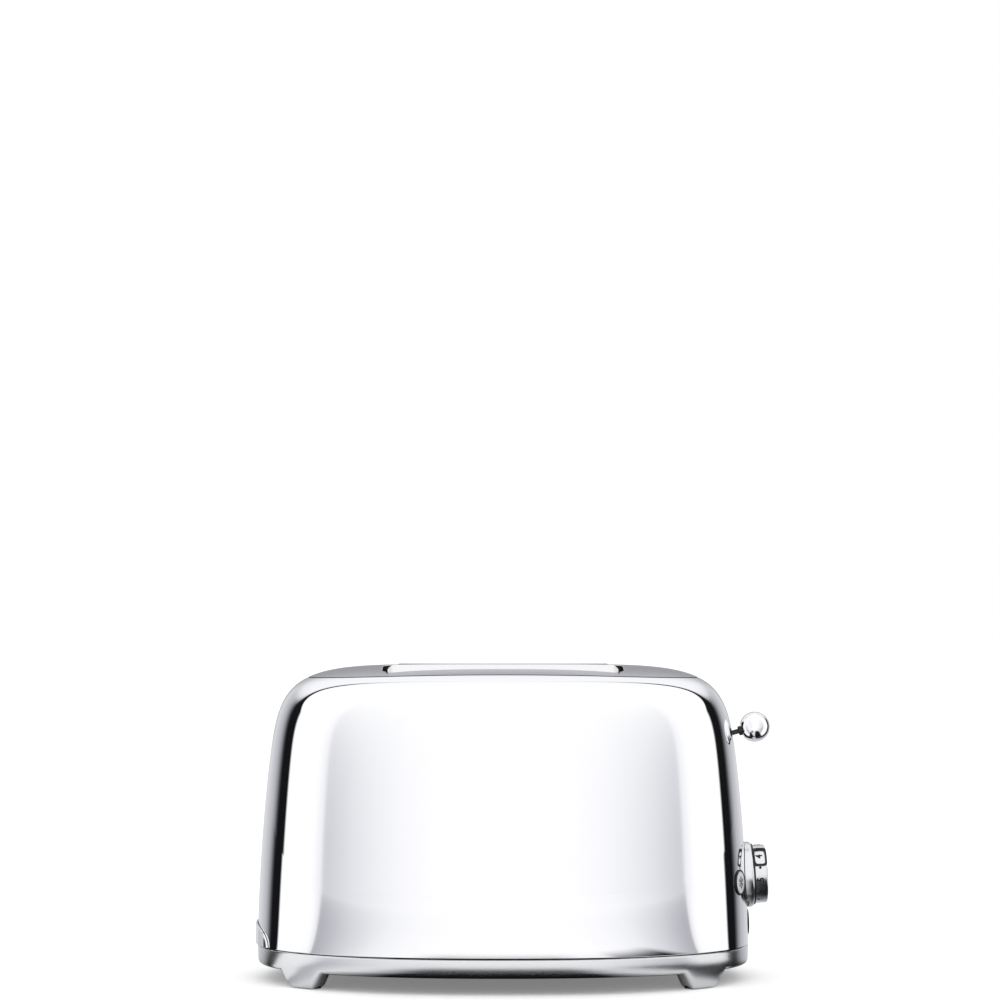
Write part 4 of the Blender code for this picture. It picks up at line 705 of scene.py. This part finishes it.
# Lever: a flat black-coated arm rises through the black-lined slot to a polished steel ball,
# which is screwed on over a short black neck.
black_coating = grained_finish("black_stoved_enamel", ("#0C0C0D", "#151516"), (0.28, 0.4), 0.0005)
dress_nodes(black_coating, 0.0003, "lever_arm")
dress_nodes(black_moulding, 0.0002, "lever_slot_trim")


def skin_height(place, across, up):
    """Height of the skin over a point of a frame that stands on it."""
    low, high = -0.02, 0.02
    for _ in range(30):
        middle = (low + high) / 2
        if skin_depth(*(place @ Vector((across, up, middle)))) < 1:
            low = middle
        else:
            high = middle
    return low


def turned_mesh(name, profile, place, steps=96, closed=False):
    """A turned shape from its profile of radius and height in a frame of its own.

    Points without a height sit on the shell's skin.
    """
    sections = []
    for step in range(steps):
        turn = 2 * math.pi * step / steps
        section = []
        for radius, height in profile:
            across, up = radius * math.cos(turn), radius * math.sin(turn)
            if height is None:
                height = skin_height(place, across, up) + piece_gap
            section.append(place @ Vector((across, up, height)))
        sections.append(section)
    mesh = mesh_from_sections(name, sections, closed)
    mesh.set_sharp_from_angle(angle=math.radians(38))
    return mesh


ball_radius, ball_flat = 0.00965, 0.0083
ball_drop, ball_out, ball_lean, ball_steps = 0.0399, 0.0152, math.radians(15), 44
ball_z = crown_z - ball_drop
ball_rise = Vector((math.cos(ball_lean), 0, math.sin(ball_lean)))
ball_frame = ball_rise.to_track_quat("Z", "Y").to_matrix().to_4x4()
ball_frame.translation = (middle_x + half_length(ball_z) + ball_out, 0, ball_z)
flat_turn = math.acos(-ball_flat / ball_radius)
profile = [(0, ball_radius)]
for step in range(1, ball_steps + 1):
    turn = flat_turn * step / ball_steps
    profile.append((ball_radius * math.sin(turn), ball_radius * math.cos(turn)))
profile += [(0.0042, -ball_flat - 0.0001), (0, -ball_flat - 0.0001)]
ball_mesh = turned_mesh("polished_ball", profile, ball_frame, 120)
ball = add_piece("polished_ball", ball_mesh, mirror_steel, "carriage", "ball_knob")
neck_profile = [
    (0.0024, -0.0086), (0.0031, -0.0086), (0.0031, -0.0092), (0.0029, -0.0098), (0.0030, -0.0103),
    (0.0028, -0.0106), (0.0024, -0.0106),
]
neck_mesh = turned_mesh("ball_neck", neck_profile, ball_frame, 64, closed=True)
neck = add_piece("ball_neck", neck_mesh, black_moulding, "carriage", "ball_collar")

# Bezel: a turned and polished steel ring that stands square on the leaning end of the shell,
# with its back edge seated on the skin. The dial turns inside its lip.
bezel_profile = [
    (0.0090, None), (0.0205, None), (0.0207, 0.0006), (0.0207, 0.0022), (0.02062, 0.0029), (0.0204, 0.0035),
    (0.0200, 0.0039), (0.0196, 0.00412), (0.0192, 0.0042), (0.0190, 0.00412), (0.0189, 0.0038),
    (0.0189, 0.0023), (0.0033, 0.0023), (0.0033, -0.0030), (0.0090, -0.0030),
]
# Ground stainless steel: a soft mirror, with grinding lines round it 0.3 mm apart
ground_steel = grained_finish(
    "ground_stainless_steel", ("#E3E4E6", "#F0F1F3"), (0.2, 0.26), 0.0003, metallic=1.0, depth=0.000004,
)
bezel_mesh = turned_mesh("polished_bezel", bezel_profile, dial_frame, 120, closed=True)
bezel = add_piece("polished_bezel", bezel_mesh, ground_steel, "chassis", "dial_bezel")

# Browning dial: turned from steel bar, fine-ground on its side and dished in its face. Six
# numbers with dots between them are printed round its side; 4 is chosen at rest.

# Printing ink: dead black, baked on
printing_ink = grained_finish("baked_printing_ink", ("#0A0A0B", "#101011"), (0.45, 0.55), 0.0003)
dial_radius, dial_back, dial_face = 0.0184, 0.0026, 0.0129
dial_profile = [
    (0, dial_face - 0.0008), (0.0060, dial_face - 0.00078), (0.0110, dial_face - 0.0007),
    (0.0146, dial_face - 0.0005), (0.0158, dial_face - 0.0002), (0.0163, dial_face - 0.00002),
    (0.0172, dial_face), (0.0177, dial_face - 0.0001), (0.0181, dial_face - 0.0004),
    (0.0183, dial_face - 0.0008), (dial_radius, dial_face - 0.0013),
    (dial_radius, dial_back + 0.0004), (0.0180, dial_back), (0.0034, dial_back), (0.0033, dial_back + 0.0003),
    (0.0033, dial_back + 0.0073), (0, dial_back + 0.0073),
]
dial_mesh = turned_mesh("ground_dial", dial_profile, dial_frame, 144)
dial = add_piece("ground_dial", dial_mesh, ground_steel, "dial", "browning_dial")


def on_dial(angle, height, radius):
    """A point round the dial, at an angle up from the front."""
    return dial_frame @ Vector((-radius * math.cos(angle), radius * math.sin(angle), height))


chosen_angle, level_pitch, chosen_level = math.radians(41), math.radians(48), 4
print_radius, print_thickness = dial_radius + 0.00002, 0.00008
print_height, dot_radius = 0.0083, 0.00085
number_size, number_boldness, bend_step = 0.0058, 0.00019, 0.0004
for number in range(1, 7):
    words = bpy.data.curves.new(f"number_{number}", "FONT")
    words.body = str(number)
    words.size = number_size
    words.offset = number_boldness
    words.align_x = "CENTER"
    words.align_y = "CENTER"
    written = bpy.data.objects.new(f"number_{number}", words)
    bpy.context.scene.collection.objects.link(written)
    bpy.context.view_layer.update()
    flat = bpy.data.meshes.new_from_object(written.evaluated_get(bpy.context.evaluated_depsgraph_get()))
    bpy.data.objects.remove(written, do_unlink=True)
    work = bmesh.new()
    work.from_mesh(flat)
    for cut in range(-8, 9):
        everything = work.verts[:] + work.edges[:] + work.faces[:]
        bmesh.ops.bisect_plane(
            work, geom=everything, plane_co=(cut * bend_step, 0, 0), plane_no=(1, 0, 0), dist=0.0000001,
        )
    bmesh.ops.remove_doubles(work, verts=work.verts, dist=0.000001)
    raised = bmesh.ops.extrude_face_region(work, geom=work.faces[:])
    middle_angle = chosen_angle - level_pitch * (number - chosen_level)
    top_points = {element for element in raised["geom"] if isinstance(element, bmesh.types.BMVert)}
    for vertex in work.verts:
        radius = print_radius + (print_thickness if vertex in top_points else 0)
        vertex.co = on_dial(middle_angle + vertex.co.x / dial_radius, print_height - vertex.co.y, radius)
    bmesh.ops.recalc_face_normals(work, faces=work.faces)
    digit_mesh = bpy.data.meshes.new(f"dial_number_{number}")
    work.to_mesh(digit_mesh)
    work.free()
    digit = add_piece(f"dial_number_{number}", digit_mesh, printing_ink, "dial")
for number in range(1, 6):
    angle = chosen_angle - level_pitch * (number + 0.5 - chosen_level)
    sections = []
    for step in range(24):
        turn = 2 * math.pi * step / 24
        section = []
        for size, lift in ((0, 0), (dot_radius, 0), (dot_radius, print_thickness), (0, print_thickness)):
            across, up = size * math.cos(turn) / dial_radius, size * math.sin(turn)
            section.append(on_dial(angle + across, print_height + up, print_radius + lift))
        sections.append(section)
    dot_mesh = mesh_from_sections(f"dial_dot_{number}", sections, False)
    dot = add_piece(f"dial_dot_{number}", dot_mesh, printing_ink, "dial")

# Index window: a moulded black frame fixed to the bezel by a thin band round the dial. It
# bridges the dial's side, and the number inside it is the one that is chosen.
window_low, window_high = 0.0045, dial_face
window_angle, window_half_turn = chosen_angle, 0.0069
window_bar, window_radius = 0.00125, 0.019
window_profile = [(0, 0.0187), (0, 0.01935), (0.12, 0.01955), (0.88, 0.01955), (1, 0.01935), (1, 0.0187)]
sections = []
for step in range(160):
    turn = 2 * math.pi * step / 160
    half_height = (window_high - window_low) / 2
    outer_u, outer_h = plan_point(window_half_turn, half_height, turn, 7)
    inner_u, inner_h = plan_point(window_half_turn - window_bar, half_height - window_bar * 0.8, turn, 5)
    section = []
    for share, radius in window_profile:
        across, height = outer_u + (inner_u - outer_u) * share, outer_h + (inner_h - outer_h) * share
        height += (window_low + window_high) / 2
        section.append(on_dial(window_angle + across / window_radius, height, radius))
    sections.append(section)
window_mesh = mesh_from_sections("index_window_frame", sections)
window_mesh.set_sharp_from_angle(angle=math.radians(40))
window = add_piece("index_window_frame", window_mesh, black_moulding, "chassis", "index_window")
band_profile = [
    (0.0186, 0.0043), (0.0191, 0.0043), (0.0193, 0.0045), (0.0193, 0.0050), (0.0191, 0.0052),
    (0.0186, 0.0052),
]
band_mesh = turned_mesh("index_band", band_profile, dial_frame, 120, closed=True)
band = add_piece("index_band", band_mesh, black_moulding, "chassis")

# Programme buttons: three steel caps in moulded black rings let into the end wall. Each cap
# carries a small printed sign: a snowflake, a ring and rising heat.
pale_cap = grained_finish("satin_cap_steel", ("#E3E4E6", "#EEEFF1"), (0.28, 0.34), 0.0003, metallic=0.4)
ring_profile = [
    (0.0075, None), (0.0080, None), (0.00805, 0.0005), (0.0079, 0.00072), (0.0077, 0.0008), (0.0072, 0.0008),
    (0.0071, 0.0007), (0.0071, -0.0032), (0.0075, -0.0032),
]
stem_radius, sign_height, sign_wire = 0.0022, 0.00082, 0.00024
cap_profile = [
    (0, 0.00085), (0.0040, 0.00084), (0.0060, 0.0008), (0.0066, 0.0007), (0.0069, 0.0004), (0.0069, -0.0031),
    (stem_radius, -0.0031),
]
arm_length, fork_place, fork_length, fork_turn = 0.0038, 0.0022, 0.0012, 0.9
snowflake = []
for arm in range(6):
    turn = math.radians(60 * arm + 30)
    out = Vector((math.cos(turn), math.sin(turn)))
    snowflake.append([(0, 0), tuple(out * arm_length)])
    for side in (-fork_turn, fork_turn):
        branch = Vector((math.cos(turn + side), math.sin(turn + side)))
        snowflake.append([tuple(out * fork_place), tuple(out * fork_place + branch * fork_length)])
bagel = []
for size in (0.0034, 0.0014):
    turns_round = [math.pi * step / 18 for step in range(37)]
    bagel.append([(size * math.cos(turn), size * math.sin(turn)) for turn in turns_round])
heat = []
for side in (-0.0022, 0, 0.0022):
    heat.append([
        (side + 0.0006 * math.sin(math.pi * step / 6), -0.003 + 0.0005 * step) for step in range(13)
    ])
signs = {"defrost": snowflake, "bagel": bagel, "reheat": heat}
for name, place in button_frames.items():
    ring_mesh = turned_mesh(f"button_surround_{name}", ring_profile, place, 72, closed=True)
    ring = add_piece(f"button_surround_{name}", ring_mesh, black_moulding, "chassis", f"button_ring_{name}")
    inward = -place.col[2].to_3d()
    node_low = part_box(f"button_{name}")[0]
    stem = (place.translation.x - node_low.x - stem_radius * abs(inward.y)) / abs(inward.x)
    mesh = turned_mesh(f"button_cap_{name}", [*cap_profile, (stem_radius, -stem), (0, -stem)], place, 72)
    cap = add_piece(f"button_cap_{name}", mesh, pale_cap, f"{name}_button", f"button_{name}")
    runs = [[place @ Vector((x, y, sign_height)) for x, y in run] for run in signs[name]]
    sign = wire_piece(f"button_sign_{name}", runs, sign_wire, printing_ink, f"{name}_button")

# Crumb drawer: a folded steel tray on two rails, closed by a pressed and polished plate that
# laps the shell and ends in a rolled rim.
dress_nodes(aluminised_sheet, 0, "crumb_tray")
dress_nodes(mirror_steel, 0, "crumb_tray_handle")
handle_half, handle_height = mouth_half + 0.0035, mouth_height + 0.0018
rim_inset, rim_out, rim_radius, rim_count, rim_power = 0.0005, 0.0007, 0.00048, 80, 2.4
handle_base = shell_low.z + piece_gap


def left_skin(y, z, out):
    """A point of the shell's left end, moved outwards."""
    breadth = half_breadth(z) + out
    x = middle_x - (half_length(z) + out) * (1 - min(abs(y) / breadth, 1) ** plan_power) ** (1 / plan_power)
    return (x, y, z)


rim_run = []
for step in range(rim_count + 1):
    turn = math.pi * step / rim_count
    y, z = plan_point(handle_half - rim_inset, handle_height - rim_inset, turn, rim_power)
    rim_run.append(left_skin(y, handle_base + rim_inset + max(z, 0), rim_out))
rim = wire_piece("drawer_rolled_rim", [rim_run], rim_radius, mirror_steel, "crumb_drawer")

# Studio: a pale floor and white surroundings, with the dark edges of the light tent and a
# dark card on the floor in front, which only mirrors see. The camera stands at the height
# of the deck, 1.7 m in front of the toaster.
front_stops = [
    (0, "#FFFFFF"), (15, "#FDFDFE"), (25, "#F8F8FA"), (35, "#EDEEF0"), (45, "#E2E3E6"), (52, "#D8D9DD"),
    (60, "#CED0D4"), (62.5, "#D0D1D5"), (65.5, "#EEEEF1"), (70, "#FBFBFC"), (74, "#FFFFFF"), (180, "#FFFFFF"),
]
# The same mirrored by the floor
table_stops = [
    (0, "#FFFFFF"), (15, "#F9F9FB"), (25, "#EFF0F2"), (35, "#DEDFE2"), (45, "#CDCED2"), (52, "#BFC0C5"),
    (60, "#B2B3B8"), (62.5, "#B4B5BA"), (64.5, "#E9E9EC"), (68, "#FBFBFC"), (74, "#FFFFFF"), (180, "#FFFFFF"),
]
tent_stops = [
    (0, "#FFFFFF"), (104, "#FFFFFF"), (106.5, "#141517"), (118.5, "#141517"), (122, "#4A4B4E"),
    (127, "#8D8E92"), (134, "#B4B5B9"), (145, "#C8C9CD"), (156, "#D5D6D9"), (180, "#D3D4D7"),
]
shoulder_stops = [
    (0, "#FFFFFF"), (104, "#FFFFFF"), (106.5, "#18191B"), (118.5, "#18191B"), (124, "#DCDDE0"),
    (132, "#F8F8FA"), (180, "#F6F6F8"),
]
overhead_stops = [(0, "#FFFFFF"), (180, "#F8F8FA")]
front_stops, table_stops, tent_stops, shoulder_stops, overhead_stops = (
    [(angle / 180, linear(code)) for angle, code in stops]
    for stops in (front_stops, table_stops, tent_stops, shoulder_stops, overhead_stops)
)
world = bpy.data.worlds.new("studio")
bpy.context.scene.world = world
world.use_nodes = True
tree = world.node_tree
tree.nodes.clear()
place = add_node(tree, "ShaderNodeTexCoord")
parts = add_node(tree, "ShaderNodeSeparateXYZ", {"Vector": place.outputs["Generated"]})
ahead = add_node(tree, "ShaderNodeMath", {0: parts.outputs["Y"], 1: -1.0}, operation="MULTIPLY")
aside = add_node(tree, "ShaderNodeMath", {0: parts.outputs["X"]}, operation="ABSOLUTE")
heading = add_node(tree, "ShaderNodeMath", {0: aside.outputs[0], 1: ahead.outputs[0]}, operation="ARCTAN2")
heading = add_node(tree, "ShaderNodeMath", {0: heading.outputs[0], 1: math.pi}, operation="DIVIDE")
front = add_node(tree, "ShaderNodeValToRGB", {"Fac": heading.outputs[0]}, stops=front_stops)
lightening = add_node(
    tree, "ShaderNodeMapRange", {"Value": parts.outputs["Z"], "From Min": 0.05, "From Max": 0.85},
)
front = add_node(
    tree, "ShaderNodeMixRGB",
    {"Fac": lightening.outputs[0], "Color1": front.outputs["Color"], "Color2": (1, 1, 1, 1)},
)
turned = add_node(
    tree, "ShaderNodeVectorMath", {0: place.outputs["Generated"], 1: (0.03, -0.9995, 0)},
    operation="DOT_PRODUCT",
)
angle = add_node(tree, "ShaderNodeMath", {0: turned.outputs["Value"]}, operation="ARCCOSINE")
angle = add_node(tree, "ShaderNodeMath", {0: angle.outputs[0], 1: math.pi}, operation="DIVIDE")
# The dark edge narrows as it rises over the toaster
rising = add_node(
    tree, "ShaderNodeMapRange",
    {"Value": parts.outputs["Z"], "From Min": 0.4, "From Max": 0.88, "To Max": 7.0},
    interpolation_type="SMOOTHSTEP",
)
offset = add_node(tree, "ShaderNodeMath", {0: angle.outputs[0], 1: 113.5 / 180}, operation="SUBTRACT")
angle = add_node(
    tree, "ShaderNodeMath", {0: offset.outputs[0], 1: rising.outputs[0], 2: angle.outputs[0]},
    operation="MULTIPLY_ADD",
)
tent = add_node(tree, "ShaderNodeValToRGB", {"Fac": angle.outputs[0]}, stops=tent_stops)
for stops, low, high in ((shoulder_stops, 0.3, 0.7), (overhead_stops, 0.83, 0.93)):
    higher = add_node(tree, "ShaderNodeValToRGB", {"Fac": angle.outputs[0]}, stops=stops)
    rising = add_node(
        tree, "ShaderNodeMapRange", {"Value": parts.outputs["Z"], "From Min": low, "From Max": high},
        interpolation_type="SMOOTHSTEP",
    )
    tent = add_node(
        tree, "ShaderNodeMixRGB",
        {"Fac": rising.outputs[0], "Color1": tent.outputs[0], "Color2": higher.outputs["Color"]},
    )
# The back of the tent, which the deck mirrors, is in half shade
behind = add_node(
    tree, "ShaderNodeMapRange",
    {"Value": ahead.outputs[0], "From Min": -0.6, "From Max": -0.95, "To Max": 0.6},
)
between = add_node(
    tree, "ShaderNodeMapRange",
    {"Value": aside.outputs[0], "From Min": 0.22, "From Max": 0.42, "To Min": 1.0, "To Max": 0.0},
)
behind = add_node(tree, "ShaderNodeMath", {0: behind.outputs[0], 1: between.outputs[0]}, operation="MULTIPLY")
tent = add_node(
    tree, "ShaderNodeMixRGB",
    {"Fac": behind.outputs[0], "Color1": tent.outputs[0], "Color2": linear("#8C8D90")},
)
tent = add_node(
    tree, "ShaderNodeMixRGB", {"Fac": 1.0, "Color1": front.outputs[0], "Color2": tent.outputs[0]},
    blend_type="MULTIPLY",
)
path = add_node(tree, "ShaderNodeLightPath")
mirrored = add_node(
    tree, "ShaderNodeMixRGB",
    {"Fac": path.outputs["Is Glossy Ray"], "Color1": (1, 1, 1, 1), "Color2": tent.outputs[0]},
)
strength = add_node(
    tree, "ShaderNodeMapRange",
    {"Value": path.outputs["Is Camera Ray"], "To Min": 1.06, "To Max": 1.0},
)
light = add_node(
    tree, "ShaderNodeBackground", {"Color": mirrored.outputs[0], "Strength": strength.outputs[0]}
)
add_node(tree, "ShaderNodeOutputWorld", {"Surface": light.outputs[0]})

pale_floor, tree = new_finish("pale_studio_floor")
place = add_node(tree, "ShaderNodeTexCoord")
parts = add_node(tree, "ShaderNodeSeparateXYZ", {"Vector": place.outputs["Object"]})
turned = add_node(
    tree, "ShaderNodeMath", {0: parts.outputs["Y"], 1: 0.03, 2: parts.outputs["X"]}, operation="MULTIPLY_ADD",
)
aside = add_node(tree, "ShaderNodeMath", {0: turned.outputs[0]}, operation="ABSOLUTE")
side = add_node(tree, "ShaderNodeMath", {0: aside.outputs[0], 1: 0.13}, operation="SUBTRACT")
side = add_node(tree, "ShaderNodeMath", {0: side.outputs[0], 1: 0.0}, operation="MAXIMUM")
ahead = add_node(tree, "ShaderNodeMath", {0: -0.04, 1: parts.outputs["Y"]}, operation="SUBTRACT")
angle = add_node(tree, "ShaderNodeMath", {0: side.outputs[0], 1: ahead.outputs[0]}, operation="ARCTAN2")
angle = add_node(tree, "ShaderNodeMath", {0: angle.outputs[0], 1: math.pi}, operation="DIVIDE")
near = add_node(tree, "ShaderNodeMapRange", {"Value": parts.outputs["Y"], "From Min": -2.2, "From Max": -0.4})
far_tone = add_node(tree, "ShaderNodeValToRGB", {"Fac": angle.outputs[0]}, stops=front_stops)
near_tone = add_node(tree, "ShaderNodeValToRGB", {"Fac": angle.outputs[0]}, stops=table_stops)
front = add_node(
    tree, "ShaderNodeMixRGB",
    {"Fac": near.outputs[0], "Color1": far_tone.outputs["Color"], "Color2": near_tone.outputs["Color"]},
)
tent = add_node(tree, "ShaderNodeValToRGB", {"Fac": angle.outputs[0]}, stops=tent_stops)
tent = add_node(
    tree, "ShaderNodeMixRGB",
    {"Fac": 1.0, "Color1": front.outputs[0], "Color2": tent.outputs["Color"]}, blend_type="MULTIPLY",
)
# The card is narrow under the front, with a second one on the right below the ball
card_stops = [
    (-0.14, 0), (-0.08, 1), (0.06, 1), (0.10, 0.2), (0.14, 0.2), (0.165, 1), (0.26, 1), (0.3, 0),
]
across = add_node(tree, "ShaderNodeMath", {0: parts.outputs["X"], 1: 0.5}, operation="ADD")
card = add_node(
    tree, "ShaderNodeValToRGB", {"Fac": across.outputs[0]},
    stops=[(x + 0.5, (shade, shade, shade, 1)) for x, shade in card_stops],
)
for bare, covered in ((-0.36, -0.2), (0.06, -0.03)):
    edge = add_node(
        tree, "ShaderNodeMapRange", {"Value": parts.outputs["Y"], "From Min": bare, "From Max": covered},
        interpolation_type="SMOOTHSTEP",
    )
    card = add_node(tree, "ShaderNodeMath", {0: card.outputs[0], 1: edge.outputs[0]}, operation="MULTIPLY")
tent = add_node(
    tree, "ShaderNodeMixRGB",
    {"Fac": card.outputs[0], "Color1": tent.outputs[0], "Color2": linear("#1B1C1E")},
)
path = add_node(tree, "ShaderNodeLightPath")
paper = add_node(
    tree, "ShaderNodeMixRGB",
    {"Fac": path.outputs["Is Glossy Ray"], "Color1": linear("#F7F7F7"), "Color2": tent.outputs[0]},
)
surface = add_node(
    tree, "ShaderNodeBsdfPrincipled",
    {"Base Color": paper.outputs[0], "Roughness": 0.9, "Specular IOR Level": 0.0},
)
glow = add_node(tree, "ShaderNodeEmission", {"Color": (1, 1, 1, 1), "Strength": 0.2})
whole = add_node(tree, "ShaderNodeAddShader", {0: surface.outputs[0], 1: glow.outputs[0]})
seen = add_node(
    tree, "ShaderNodeMixShader",
    {0: path.outputs["Is Camera Ray"], 1: surface.outputs[0], 2: whole.outputs[0]},
)
add_node(tree, "ShaderNodeOutputMaterial", {"Surface": seen.outputs[0]})

floor_mesh = bpy.data.meshes.new("studio_floor")
reach = 40
floor_mesh.from_pydata(
    [(-reach, -reach, 0), (reach, -reach, 0), (reach, reach, 0), (-reach, reach, 0)], [], [(0, 1, 2, 3)]
)
floor_mesh.materials.append(pale_floor)
floor = bpy.data.objects.new("studio_floor", floor_mesh)
bpy.context.scene.collection.objects.link(floor)

camera_data = bpy.data.cameras.new("photo_camera")
camera_data.sensor_width = 36
camera_distance, camera_height, pixels_per_metre, picture_width = 1.7, 0.215, 1574.8, 1000
camera_data.lens = camera_data.sensor_width * pixels_per_metre * camera_distance / picture_width
camera_data.shift_x = -0.003
camera_data.shift_y = 0.137
camera_data.clip_end = 200
camera = bpy.data.objects.new("photo_camera", camera_data)
camera.location = (middle_x, -camera_distance, camera_height)
camera.rotation_euler = (math.pi / 2, 0, 0)
bpy.context.scene.collection.objects.link(camera)
bpy.context.scene.camera = camera
bpy.context.scene.view_settings.view_transform = "Standard"
